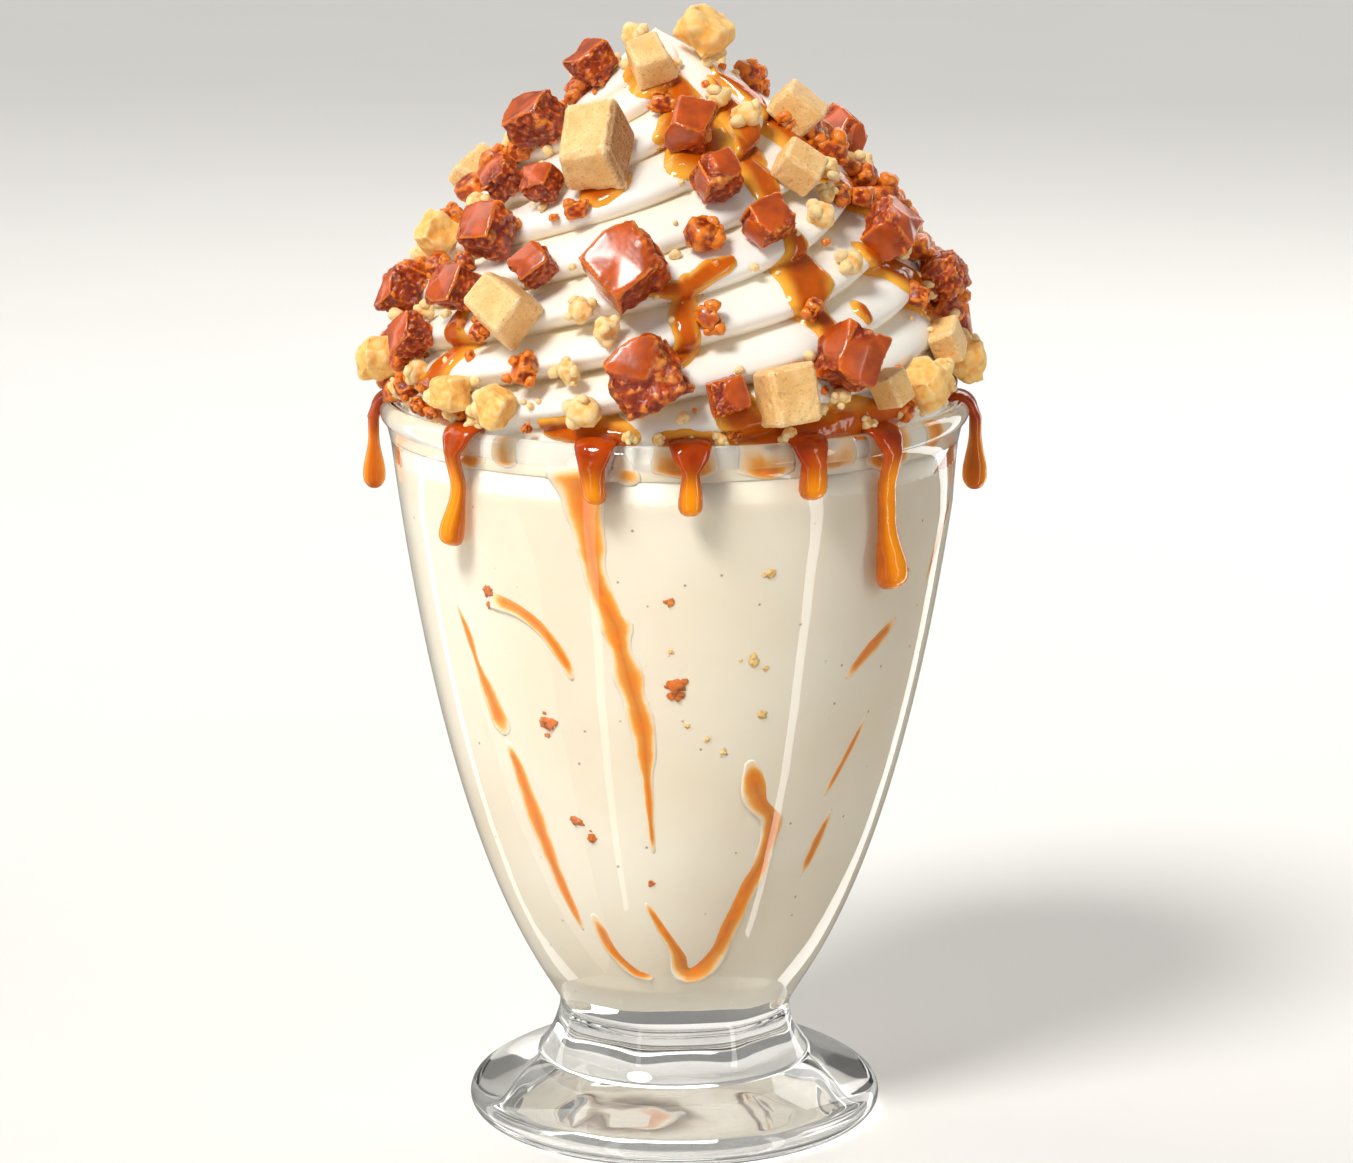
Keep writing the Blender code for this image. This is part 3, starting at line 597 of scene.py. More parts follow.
def grouped(tree, group, **inputs):
    node = tree.nodes.new("ShaderNodeGroup")
    node.node_tree = bpy.data.node_groups[group]
    for key, value in inputs.items():
        node.inputs[key.replace("_", " ")].default_value = value
    return node.outputs


def mottled(tree, light, dark, cloud_size, grain_size):
    return grouped(tree, "Mottled tint", Light=(*light, 1), Dark=(*dark, 1), Cloud_size=cloud_size,
                   Grain_size=grain_size)


def new_finish(name, **sockets):
    """Material whose plain numbers stand on the shader itself."""
    finish = bpy.data.materials.new(name)
    finish.use_nodes = True
    shader = finish.node_tree.nodes["Principled BSDF"]
    for key, value in sockets.items():
        shader.inputs[key.replace("_", " ")].default_value = value
    return finish, finish.node_tree, shader.inputs


def glass_finish(settings):
    finish, tree, sockets = new_finish("Clear glass", Transmission_Weight=1.0, IOR=1.5)
    tints = mottled(tree, settings.tint, tuple(0.975 * value for value in settings.tint), 30, 4)
    tree.links.new(tints["Colour"], sockets["Base Color"])
    tree.links.new(scaled(tree, tints["Clouds"], 0.0, settings.roughness), sockets["Roughness"])
    bumped(tree, sockets, tints["Clouds"], 0.06 * MM)
    passing = add_node(tree, "ShaderNodeBsdfTransparent", {"Color": (0.96, 0.96, 0.95, 1)})
    rays = add_node(tree, "ShaderNodeLightPath").outputs["Is Shadow Ray"]
    shader = tree.nodes["Principled BSDF"].outputs[0]
    mix = add_node(tree, "ShaderNodeMixShader", {0: rays, 1: shader, 2: passing.outputs[0]})
    tree.links.new(mix.outputs[0], tree.nodes["Material Output"].inputs["Surface"])
    return finish


def drink_finish(settings):
    finish, tree, sockets = new_finish(
        "Vanilla drink", Roughness=0.42, Subsurface_Weight=0.22, Subsurface_Scale=2 * MM,
        Subsurface_Radius=(1.0, 0.8, 0.5))
    shades = mottled(tree, settings.light, settings.dark, 26, 1.6)
    where = add_node(tree, "ShaderNodeTexCoord").outputs["Object"]
    seeds = add_node(tree, "ShaderNodeTexVoronoi", {"Vector": where, "Scale": 230.0})
    seed = scaled(tree, seeds.outputs["Distance"], 0.75, 0.0, 0.03, 0.075)
    tree.links.new(blended(tree, seed, shades["Colour"], settings.seeds), sockets["Base Color"])
    bumped(tree, sockets, shades["Grain"], 0.03 * MM)
    return finish


def cream_finish(settings):
    finish, tree, sockets = new_finish(
        "Whipped cream", Roughness=0.36, Subsurface_Weight=0.3, Subsurface_Scale=2 * MM,
        Subsurface_Radius=(1.0, 0.8, 0.55))
    shades = mottled(tree, settings.light, settings.dark, 16, 1.2)
    # Painted shade: a warmer, darker colour laid into the valleys between the ridges, where shade falls.
    valley = scaled(tree, attribute(tree, "valley"), 0.0, 0.75, 0.25, 1.0)
    valley_shaded = blended(tree, valley, shades["Colour"], settings.valley)
    tree.links.new(blended(tree, attribute(tree, "sunk"), valley_shaded, settings.sunk), sockets["Base Color"])
    tree.links.new(scaled(tree, shades["Grain"], 0.30, 0.46), sockets["Roughness"])
    bumped(tree, sockets, shades["Grain"], 0.05 * MM)
    return finish


def toffee_finish(settings):
    finish, tree, sockets = new_finish(
        "Toffee", Subsurface_Weight=0.12, Subsurface_Scale=1.5 * MM, Subsurface_Radius=(1.0, 0.3, 0.1),
        Coat_Roughness=0.14, IOR=1.5, Specular_IOR_Level=0.5)
    glaze = mottled(tree, settings.toffee, settings.toffee_dark_and_shade, 3.4, 0.9)
    relief = attribute(tree, "relief")
    broken = attribute(tree, "broken")
    # Painted sheen: a lighter colour on the smooth sides, which face the key light at the upper left.
    painted_sheen = blended(tree, scaled(tree, broken, 0.28, 0.0), glaze["Colour"], settings.toffee_painted_sheen)
    # Painted shade: the broken sides, which face away from the key light, are darkened, their hollows most.
    painted_shade = scaled(tree, relief, 0.15, 0.75, 0.0, -0.22)
    shaded = blended(tree, maths(tree, "MULTIPLY", painted_shade, broken), painted_sheen, settings.toffee_dark_and_shade)
    # Painted glow: convex edges turn a lighter orange, as if light came through them.
    edge = scaled(tree, relief, 0.0, 0.9, 0.05, 0.3)
    lit = blended(tree, edge, shaded, settings.toffee_painted_edge_glow)
    crumble = grouped(tree, "Crumbly surface", Grain_size=0.9)
    patches = mottled(tree, settings.toffee_grain, settings.toffee, 4.5, 0.4)
    dust = maths(tree, "MULTIPLY", scaled(tree, patches["Clouds"], 0.0, 0.55, 0.86, 1.0), broken)
    tree.links.new(blended(tree, dust, lit, settings.toffee_grain), sockets["Base Color"])
    tree.links.new(scaled(tree, broken, 0.27, 0.32), sockets["Roughness"])
    tree.links.new(scaled(tree, broken, 0.22, 0.1), sockets["Coat Weight"])
    bumped(tree, sockets, maths(tree, "MULTIPLY", crumble["Height"], scaled(tree, broken, 0.03, 0.6)), 0.5 * MM)
    return finish


def fudge_finish(settings):
    finish, tree, sockets = new_finish(
        "Fudge", Subsurface_Weight=0.12, Subsurface_Scale=1.2 * MM, Subsurface_Radius=(1.0, 0.6, 0.3))
    body = mottled(tree, settings.fudge, settings.fudge_dark, 4.5, 0.45)
    # Convex edges are made lighter.
    edge = scaled(tree, attribute(tree, "relief"), 0.0, 0.8, 0.03, 0.2)
    grains = scaled(tree, body["Grain"], 0.6, 0.0, 0.34, 0.43)
    # On some pieces the side facing right, away from the key light, is browned with specks and darkened as painted
    # shade.
    brown_and_shade_side = attribute(tree, "broken")
    share = maths(tree, "MULTIPLY", brown_and_shade_side, scaled(tree, body["Grain"], 0.55, 1.0, 0.44, 0.56))
    sides = blended(tree, share, body["Colour"], settings.fudge_brown_and_shade)
    lighter_edges = blended(tree, edge, sides, settings.fudge_lighter_edge)
    tree.links.new(blended(tree, grains, lighter_edges, settings.fudge_brown_and_shade), sockets["Base Color"])
    tree.links.new(scaled(tree, body["Grain"], 0.36, 0.6), sockets["Roughness"])
    bumped(tree, sockets, body["Grain"], 0.2 * MM)
    return finish


def crumb_finish(settings):
    finish, tree, sockets = new_finish(
        "Pale crumb", Subsurface_Weight=0.25, Subsurface_Scale=1.2 * MM, Subsurface_Radius=(1.0, 0.7, 0.35))
    body = mottled(tree, settings.crumb, settings.crumb_dark, 3.0, 0.5)
    # Painted highlight on the places that stand out, and painted shade in the hollows between them.
    edge = scaled(tree, attribute(tree, "relief"), 0.0, 0.7, 0.0, 0.25)
    painted_shade = scaled(tree, attribute(tree, "relief"), 0.7, 0.0, -0.2, 0.0)
    lit = blended(tree, edge, body["Colour"], settings.crumb_painted_highlight)
    tree.links.new(blended(tree, painted_shade, lit, settings.crumb_painted_shade), sockets["Base Color"])
    tree.links.new(scaled(tree, body["Grain"], 0.45, 0.75), sockets["Roughness"])
    bumped(tree, sockets, body["Grain"], 0.2 * MM)
    return finish


def caramel_finish(settings):
    finish, tree, sockets = new_finish(
        "Caramel", Roughness=0.08, Coat_Weight=0.1, Coat_Roughness=0.02, Subsurface_Weight=0.08,
        Subsurface_Scale=1.5 * MM, Subsurface_Radius=(1.0, 0.35, 0.06), IOR=1.48, Specular_IOR_Level=0.42)
    body = mottled(tree, settings.body, settings.deep, 5.0, 1.0)
    # Painted glow: a bright orange where light would pass through the caramel, read from a mark on each point.
    glowing = blended(tree, attribute(tree, "glow"), body["Colour"], settings.glow)
    tree.links.new(blended(tree, attribute(tree, "thin"), glowing, settings.thin), sockets["Base Color"])
    tree.links.new(scaled(tree, body["Clouds"], 0.05, 0.12), sockets["Roughness"])
    bumped(tree, sockets, body["Clouds"], 0.15 * MM)
    return finish


def streak_finish(settings, drink):
    finish, tree, sockets = new_finish("Caramel in the drink", Roughness=0.4)
    body = mottled(tree, settings.streak, settings.streak_deep, 5.0, 0.8)
    uneven = scaled(tree, body["Clouds"], -0.18, 0.12)
    core = maths(tree, "ADD", attribute(tree, "core"), uneven)
    halo = blended(tree, 0.5, drink.light, drink.dark)
    soft = blended(tree, scaled(tree, core, 0.0, 1.0, 0.08, 0.6), halo, settings.thin_streak)
    thick = scaled(tree, core, 0.0, 1.0, 0.4, 0.95)
    tree.links.new(blended(tree, thick, soft, body["Colour"]), sockets["Base Color"])
    bumped(tree, sockets, body["Grain"], 0.02 * MM)
    return finish


def floor_finish(settings):
    finish, tree, sockets = new_finish("Pale floor", Roughness=0.6)
    body = mottled(tree, settings.floor, tuple(0.985 * value for value in settings.floor), 120, 3)
    tree.links.new(body["Colour"], sockets["Base Color"])
    tree.links.new(scaled(tree, body["Grain"], 0.5, 0.62), sockets["Roughness"])
    return finish


def kept_finish(name, make, *given):
    """The material of that name, made on its first use."""
    return bpy.data.materials.get(name) or make(*given)


# Shapes of the pieces
def make_glass(settings):
    """The glass, spun round its axis, with flat panels pressed into its outside."""
    inside = cavity_curve(wall_segments=44, floor_segments=14)
    rim = bead_arc(segments=22, from_degrees=180, to_degrees=-62)
    outside = list(reversed(foot_curve(segments=16)[:-1] + bowl_curve(segments=52)))
    edge_azimuth = PANEL_MIDDLE_AZIMUTH + math.pi / PANEL_COUNT
    glass = spun("clear_glass", inside + rim + outside + [(0, 0)], settings.steps, edge_azimuth)
    for vertex in glass.data.vertices:
        point = vertex.co
        radius = math.hypot(point.x, point.y)
        outer = point.z < FLOOR[1] or radius > interpolate(OUTSIDE, point.z) - OUTER_MARGIN
        if outer and point.z < BOWL_TOP[1] and radius > 0:
            factor = panel_factor(azimuth_of(point), point.z)
            point.x *= factor
            point.y *= factor
    finish_piece(glass, kept_finish("Clear glass", glass_finish, settings), "clear_glass", "glass")


def make_drink(settings):
    """The drink, up to its level and just into the wall of the glass."""
    inside = cavity_curve(wall_segments=40, floor_segments=12)
    fill = [(0, FLOOR[1] - INTO_THE_WALL)]
    for (low_radius, low), (radius, height), (high_radius, high) in zip(inside, inside[1:], inside[2:]):
        away = Vector((high - low, low_radius - high_radius)).normalized() * INTO_THE_WALL
        fill.append((radius + away.x, height + away.y))
    top_radius = CAVITY_TOP[0] + INTO_THE_WALL
    fill += [(top_radius, DRINK_TOP), (0, DRINK_TOP)]
    drink = spun("vanilla_drink", fill, steps=DRINK_STEPS, azimuth=0)
    finish_piece(drink, kept_finish("Vanilla drink", drink_finish, settings), "milkshake", "milkshake")


def on_the_wall(azimuth, height, reach):
    """Point that lies a reach into the wall of the glass from the drink's side."""
    return place(azimuth, interpolate(CAVITY_WALL, height) + reach, height)


def wall_strand(bends):
    """Flat strand that lies in the wall of the glass, just over the drink's own surface."""
    samples = smooth_path(bends, STREAK_STEP)
    rings = []
    for before, (azimuth, height, width), after in zip(samples[:1] + samples, samples, samples[1:] + samples[-1:]):
        turn = math.radians(azimuth)
        centre = on_the_wall(turn, height * MM, INTO_THE_WALL)
        across = math.radians(after.x - before.x) * interpolate(CAVITY_WALL, height * MM) / MM
        slope = Vector((across, after.y - before.y)).normalized()
        sideways = place(turn + math.pi / 2, 1, 0) * slope.y - Vector((0, 0, 1)) * slope.x
        uneven = 1.25 + 0.5 * noise.noise(Vector((azimuth * 0.1, height * 0.2, 3.7)))
        rings.append((centre, sideways * width * uneven * MM, place(turn, 1, 0) * STREAK_THICKNESS))
    return strand("streak", rings, STREAK_SIDES)


def make_streaks(settings, drink):
    finish = kept_finish("Caramel in the drink", streak_finish, settings, drink)
    streaks = [wall_strand(bends) for bends in STREAKS + WALL_CARAMEL]
    finish_piece(joined("caramel_streaks", streaks), finish, "caramel")


def topping_spots():
    """Middle of each topping, and half of its widest side."""
    spots = []
    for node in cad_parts:
        if node.startswith(("toffee", "fudge", "cookie")):
            low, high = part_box(node)
            spots.append(((low + high) / 2, max(high - low) / 2))
    return spots


def make_cream(settings):
    """Piped cream with spiral ridges, filled up where a topping lies."""
    spots = topping_spots()
    tree = kdtree.KDTree(len(spots))
    for number, (middle, reach) in enumerate(spots):
        tree.insert(middle, number)
    tree.balance()
    valleys = []

    def point_at(turn, ring):
        if ring == CREAM_ROWS:
            valleys.append(0.0)
            return Vector((0, 0, CREAM_BASE))
        height = CREAM_TIP + (CREAM_BASE - CREAM_TIP) * (ring / (CREAM_ROWS - 1))
        azimuth = turn + ridge_twist(height)
        crest = mound_radius(height)
        drop = ridge_drop(azimuth, height, settings.ridge_depth)
        top = place(azimuth, crest, height) + cream_lean(height)
        near = tree.find(top)
        held = 1 - ramp(near[2], spots[near[1]][1] * 0.5, spots[near[1]][1] * 1.15)
        valleys.append(min(1.0, drop / settings.ridge_depth))
        lowered = crest - drop * (1 - 0.6 * held) + swell(top, height)
        return place(azimuth, max(0.0, lowered), height) + cream_lean(height)

    cream, _ = drawn_ball("piped_cream", CREAM_COLUMNS, CREAM_ROWS, point_at)
    # How deep each point lies in a valley, the mask for the painted shade.
    mark(cream, "valley", valleys)
    mark(cream, "sunk", [1 - ramp(vertex.co.z, *SUNK_BAND) for vertex in cream.data.vertices])
    tidy_shell(cream, 0.002 * MM)
    finish_piece(cream, kept_finish("Whipped cream", cream_finish, settings), "whipped_cream", "whipped_cream")


def relief_of(mesh):
    """How far each point stands out from the points around it, in shares of their distance."""
    shape = bmesh.new()
    shape.from_mesh(mesh)
    reliefs = []
    for vertex in shape.verts:
        around = [edge.other_vert(vertex).co for edge in vertex.link_edges]
        middle = sum(around, Vector()) / len(around)
        reach = sum((point - middle).length for point in around) / len(around)
        reliefs.append((vertex.co - middle).dot(vertex.normal) / reach)
    shape.free()
    return reliefs


def cells(point):
    """Distance to the nearest of scattered centres."""
    return noise.voronoi(point)[0][0]


def upper_left(middle):
    """Direction that smooth sides look towards: out, up and to the left, towards the key light. The toffee's material
    paints a sheen on these sides.
    """
    out = place(azimuth_of(middle), 1, 0)
    left = place(azimuth_of(middle) - math.pi / 2, 1, 0)
    return (out * 0.6 + left * 0.55 + Vector((0, 0, 0.6))).normalized()


def flat_sides(mesh, middle, count):
    """The largest sides of a solid that look out, up and left: normal and distance from its middle."""
    sides = []
    for face in sorted(mesh.polygons, key=lambda face: -face.area):
        for side in sides:
            if face.normal.dot(side[0]) > 0.97:
                side[2] += face.area
                break
        else:
            sides.append([face.normal.copy(), (face.center - middle).dot(face.normal), face.area])
    sides.sort(key=lambda side: -side[2] * max(0.0, side[0].dot(upper_left(middle))))
    return [(normal, reach) for normal, reach, area in sides[:count]]


def any_way(chance):
    """Vector in a random direction."""
    return Vector([chance.gauss(0, 1) for _ in range(3)])


def shifted(chance, reach):
    """Vector whose parts lie between minus and plus the reach."""
    return Vector([chance.uniform(-reach, reach) for _ in range(3)])


def chipped(piece, middle, chance, wanted, count):
    """Cut corners off along flat facets, first on the wanted sides, then at random. The wanted ones are returned."""
    facets = []
    for side in wanted + [any_way(chance) for _ in range(count)]:
        side = (side.normalized() + shifted(chance, 0.2)).normalized()
        reach = max((vertex.co - middle).dot(side) for vertex in piece.data.vertices) * chance.uniform(0.86, 0.95)
        for vertex in piece.data.vertices:
            high = (vertex.co - middle).dot(side) - reach
            if high > 0:
                vertex.co = vertex.co - side * high
        facets.append((side, reach))
    piece.data.update()
    return facets[:len(wanted)]


# Bumps on a broken piece: the usual distance to a cell's centre, then how many big cells, small cells and waves
# it is across, each with its height as a share of the piece's size
BUMPS = {
    "toffee": (0.4, (3.1, 0.12), (7, 0.055), (13, 0.03)),
    "cookie": (0.42, (2.3, 0.15), (4.5, 0.05), (9, 0.015)),
}
# How near to a smooth side the bumps fade, as a share of the piece's size
SMOOTH_REACH = (-0.06, -0.02)


def bumps(spot, kind):
    usual, (big, big_height), (small, small_height), (waves, wave_height) = BUMPS[kind]
    return ((usual - cells(spot * big)) * big_height + (usual - cells(spot * small)) * small_height
            + noise.noise(spot * waves) * wave_height)


def away_from(point, sides, size):
    """0 on one of the flat sides, 1 away from all of them."""
    low, high = (share * size for share in SMOOTH_REACH)
    return min([1.0] + [1 - ramp(point.dot(normal) - reach, low, high) for normal, reach in sides])


def roughened(piece, kind, size, middle, chance, polished=(), brown_and_shade_side=False):
    """Push each point in or out as toffee breaks, as crumbs clump or as fudge is cut, and mark broken places. On
    fudge it marks the right-facing side of some pieces instead, browned and darkened as painted shade.
    """
    aside = shifted(chance, 90)
    right = place(azimuth_of(middle) + math.pi / 2, 1, 0)
    normals = [vertex.normal.copy() for vertex in piece.data.vertices]
    broken = []
    for vertex, normal in zip(piece.data.vertices, normals):
        spot = (vertex.co - middle) / size + aside
        share = 0.0
        if kind == "fudge":
            # The side facing right is marked: browned, and darkened as painted shade.
            share = ramp(normal.dot(right), 0.3, 0.5) if brown_and_shade_side else 0.0
            push = noise.noise(spot * 2.5) * 0.012 + min(0.0, noise.noise(spot * 8) + 0.15) * 0.035
        else:
            push = bumps(spot, kind)
        if kind == "toffee":
            share = away_from(vertex.co - middle, polished, size)
            push *= share
        broken.append(share)
        vertex.co = vertex.co + normal * push * size
    piece.data.update()
    mark(piece, "broken", broken)


FINISH_OF = {
    "toffee": ("Toffee", toffee_finish), "fudge": ("Fudge", fudge_finish), "cookie": ("Pale crumb", crumb_finish),
}
SLOT_OF = {"toffee": "toffee", "fudge": "fudge", "cookie": "cookie_crumb"}
VOXELS_ACROSS = {"toffee": 32, "fudge": 36, "cookie": 26}
SMOOTHING = {"toffee": (0.18, 1), "cookie": (0.35, 3)}
FUDGE_EDGE = math.radians(38)
TOPPING_CHIPS = 4
LUMP_CHIPS = 6
# Fudge pieces whose right side is browned and painted in shade.
BROWN_AND_SHADE_FUDGE = (2, 6, 9)
COATED_CRUMBS = ("cookie_4",)


def make_toppings(kind, settings):
    """Each topping's solid is copied, chipped, remeshed evenly and roughened."""
    count = sum(node.startswith(kind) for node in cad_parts)
    for number in range(1, count + 1):
        node = f"{kind}_{number}"
        low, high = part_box(node)
        size, middle = max(high - low), (low + high) / 2
        chance = random.Random(number * 11 + len(kind))
        look = "toffee" if node in COATED_CRUMBS else kind
        piece = bpy.data.objects.new(f"{kind}_piece_{number}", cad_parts[node].data.copy())
        bpy.context.scene.collection.objects.link(piece)
        piece.data.name = piece.name
        tidy_shell(piece, 0.01 * MM)
        polished = flat_sides(piece.data, middle, chance.choice((2, 3, 3))) if kind == "toffee" else ()
        voxel = size / VOXELS_ACROSS[kind]
        if kind != "fudge":
            apply_modifier(piece, "REMESH", mode="VOXEL", voxel_size=voxel)
            chipped(piece, middle, chance, [], TOPPING_CHIPS)
        apply_modifier(piece, "REMESH", mode="VOXEL", voxel_size=voxel)
        roughened(piece, look, size, middle, chance, polished, kind == "fudge" and number in BROWN_AND_SHADE_FUDGE)
        if kind == "fudge":
            take(piece)
            bpy.ops.object.shade_smooth_by_angle(angle=FUDGE_EDGE)
        else:
            factor, rounds = SMOOTHING[look]
            apply_modifier(piece, "SMOOTH", factor=factor, iterations=rounds)
        mark(piece, "relief", relief_of(piece.data))
        finish_piece(piece, kept_finish(*FINISH_OF[look], settings), SLOT_OF[kind], node)


def ball(fine):
    """Copy of the fine or the coarse ball that lumps start from, 1 mm in radius. Each is modelled once."""
    name = "fine_ball" if fine else "coarse_ball"
    if name not in bpy.data.meshes:
        clear_selection()
        bpy.ops.mesh.primitive_ico_sphere_add(subdivisions=3 if fine else 2, radius=MM)
        first = bpy.context.object
        first.data.name = name
        first.data.use_fake_user = True
        bpy.data.objects.remove(first)
    piece = bpy.data.objects.new("lump", bpy.data.meshes[name].copy())
    piece.data.use_fake_user = False
    bpy.context.scene.collection.objects.link(piece)
    return piece


def lump(kind, middle, size, chance, fine):
    """One roughened lump of a crumb."""
    piece = ball(fine)
    tilt = Matrix.Rotation(chance.uniform(0, math.tau), 4, shifted(chance, 1).normalized())
    stretch = Matrix.Diagonal((chance.uniform(0.95, 1.15), chance.uniform(0.8, 1.0), chance.uniform(0.7, 0.95), 1))
    corner = 0.6 if kind == "toffee" else 0.3
    for vertex in piece.data.vertices:
        side = vertex.co.normalized()
        boxy = 1 / max(abs(side.x), abs(side.y), abs(side.z))
        vertex.co = side * size / 2 * (1 + (boxy - 1) * corner)
    piece.data.transform(Matrix.Translation(middle) @ tilt @ stretch)
    piece.data.update()
    wanted = []
    if kind == "toffee":
        wanted = [upper_left(middle), place(azimuth_of(middle) - 0.3, 1, 0.1)][:chance.choice((1, 2))]
    polished = chipped(piece, middle, chance, wanted, LUMP_CHIPS)
    roughened(piece, kind, size, middle, chance, polished)
    mark(piece, "relief", relief_of(piece.data))
    return piece


# A clump's middle lump, its smaller lumps and how far out they lie, as shares of its size
CLUMP_MIDDLE = 0.84
CLUMP_LUMPS = 3
CLUMP_LUMP = (0.3, 0.55)
CLUMP_REACH = 0.4


def crumb(kind, azimuth, height, size, seed, fine, lift):
    """Crumb, at an azimuth in degrees and a height and size in mm, on the cream. A bigger one is a clump."""
    chance = random.Random(seed)
    turn = math.radians(azimuth)
    out = mound_normal(turn, height * MM)
    middle = place(turn, mound_radius(height * MM), height * MM) + cream_lean(height * MM) + out * size * MM * lift
    if not fine:
        return [lump(kind, middle, size * MM, chance, False)]
    lumps = [lump(kind, middle, size * MM * CLUMP_MIDDLE, chance, True)]
    for _ in range(CLUMP_LUMPS):
        away = any_way(chance).normalized()
        away = (away + out * max(0.0, -away.dot(out))).normalized() * size * MM * CLUMP_REACH
        lumps.append(lump(kind, middle + away, size * MM * chance.uniform(*CLUMP_LUMP), chance, False))
    return lumps


# Fine crumbs: how far they fall from the bigger pieces, along and up, the heights they keep to and their sizes
SCATTER_REACH = (7 * MM, 5 * MM)
SCATTER_BAND = (129 * MM, 186 * MM)
SCATTER_SIZES = (0.9, 2.3)
SCATTER_RIDGE_DEPTH = 3.4 * MM


def scattered(kind, count, seed):
    """Fine crumbs that fell about the bigger pieces."""
    chance = random.Random(seed)
    spots = topping_spots()
    crumbs = []
    for number in range(count):
        middle, reach = chance.choice(spots)
        radius = max(8 * MM, math.hypot(middle.x, middle.y))
        azimuth = azimuth_of(middle) + chance.gauss(0, 1) * SCATTER_REACH[0] / radius
        height = middle.z + chance.gauss(0, 1) * SCATTER_REACH[1]
        height = min(SCATTER_BAND[1], max(SCATTER_BAND[0], height))
        size = chance.uniform(*SCATTER_SIZES)
        drop = ridge_drop(azimuth, height, SCATTER_RIDGE_DEPTH)
        lift = -drop / (size * MM) + 0.2
        crumbs += crumb(kind, math.degrees(azimuth), height / MM, size, seed + number, False, lift)
    return crumbs


# Crumbs: name, kind, how many fine ones are scattered and their seed, the bigger ones and their seed
CRUMB_GROUPS = [
    ("toffee_crumbs", "toffee", 90, 5000, TOFFEE_BITS + RIM_TOFFEE, 300),
    ("pale_crumbs", "cookie", 130, 6000, PALE_BITS + RIM_PALE, 400),
]
CRUMB_LIFT = 0.18


def make_crumbs(settings):
    for name, kind, count, scatter_seed, rows, seed in CRUMB_GROUPS:
        crumbs = scattered(kind, count, scatter_seed)
        for number, row in enumerate(rows):
            crumbs += crumb(kind, *row, seed + number * 5, True, CRUMB_LIFT)
        finish_piece(joined(name, crumbs), kept_finish(*FINISH_OF[kind], settings), SLOT_OF[kind])


# Sizes of a speck's blobs, as shares of its own. The first lies in the middle.
SPECK_BLOBS = (0.75, 0.5, 0.4, 0.3, 0.22)
SPECK_DEPTH = 0.22 * MM
# Relief given evenly to the specks: it sets how much painted edge glow (toffee) or painted highlight (crumb) their
# colour takes.
SPECK_RELIEF = {"toffee": 0.19, "cookie": 0.1}


def speck(number, kind, azimuth, height, size):
    """Flat ragged blobs that lie together in the drink against the wall."""
    chance = random.Random(900 + number)
    blobs = []
    for share in SPECK_BLOBS:
        spread = 0 if share == SPECK_BLOBS[0] else 1
        turn = azimuth + chance.gauss(0, 0.3) * size / (40 * MM) * spread
        middle = on_the_wall(turn, height + chance.gauss(0, 0.3) * size * spread, INTO_THE_WALL)
        axes = Matrix((place(turn + math.pi / 2, 1, 0), Vector((0, 0, 1)), place(turn, 1, 0)))
        flat = Matrix.Diagonal((1, 1, SPECK_DEPTH / (size / 2), 1))
        piece = ball(True)
        for vertex in piece.data.vertices:
            side = vertex.co.normalized()
            ragged = 1 + 0.8 * noise.noise(side * 1.9 + Vector((number * 7, share * 90, 0)))
            vertex.co = side * ragged * size * share / 2
        piece.data.transform(Matrix.Translation(middle) @ axes.transposed().to_4x4() @ flat)
        mark(piece, "broken", [0.5] * len(piece.data.vertices))
        mark(piece, "relief", [SPECK_RELIEF[kind]] * len(piece.data.vertices))
        blobs.append(piece)
    return blobs


def make_specks(settings):
    """Bits of toffee and crumb in the drink."""
    for kind, pale in (("toffee", 0), ("cookie", 1)):
        blobs = []
        for number, (azimuth, height, size, light) in enumerate(SPECKS):
            if light == pale:
                blobs += speck(number, kind, math.radians(azimuth), height * MM, size * MM)
        finish_piece(joined(f"{kind}_specks", blobs), kept_finish(*FINISH_OF[kind], settings), SLOT_OF[kind])


# Caramel on the cream. The grid's measures are in mm.
SAUCE_STEP = 1.5
SAUCE_GRID = 0.38
SAUCE_MARGIN = 1.2
SAUCE_LOWEST = 125.5
SAUCE_FLOW = 5
SAUCE_CUT = -0.12
SAUCE_SINK = 0.08 * MM
SAUCE_SHELL = 0.5 * MM
# Share of the painted glow laid evenly over the caramel on the cream.
SAUCE_PAINTED_GLOW = 0.15


def sauce_share(spot, runs):
    """How deep in the caramel a spot lies: 0 on its edge, 1 in the middle of a run. Runs flow together."""
    total = 0.0
    for start, end, start_width, end_width in runs:
        line = end - start
        share = min(1.0, max(0.0, (spot - start).dot(line) / max(1e-9, line.length_squared)))
        width = start_width + (end_width - start_width) * share
        near = 1 - (spot - start - line * share).length / width
        total += math.exp(SAUCE_FLOW * near)
    return math.log(max(total, 1e-9)) / SAUCE_FLOW


def sauce_point(azimuth, height, share, thickness, ridge_depth):
    """Point on the caramel: proud of the cream within the runs, below its surface outside them."""
    round_edge = math.sqrt(1 - (1 - min(1.0, max(0.0, share))) ** 2)
    lift = thickness * round_edge if share > 0 else share * 1.5 * MM
    drop = ridge_drop(azimuth, height, ridge_depth) * (1 - 0.45 * ramp(share, 0.05, 0.6))
    soft = swell(place(azimuth, mound_radius(height), height) + cream_lean(height), height)
    on_cream = place(azimuth, mound_radius(height) - drop + soft, height) + cream_lean(height)
    return on_cream + mound_normal(azimuth, height) * (lift - SAUCE_SINK)


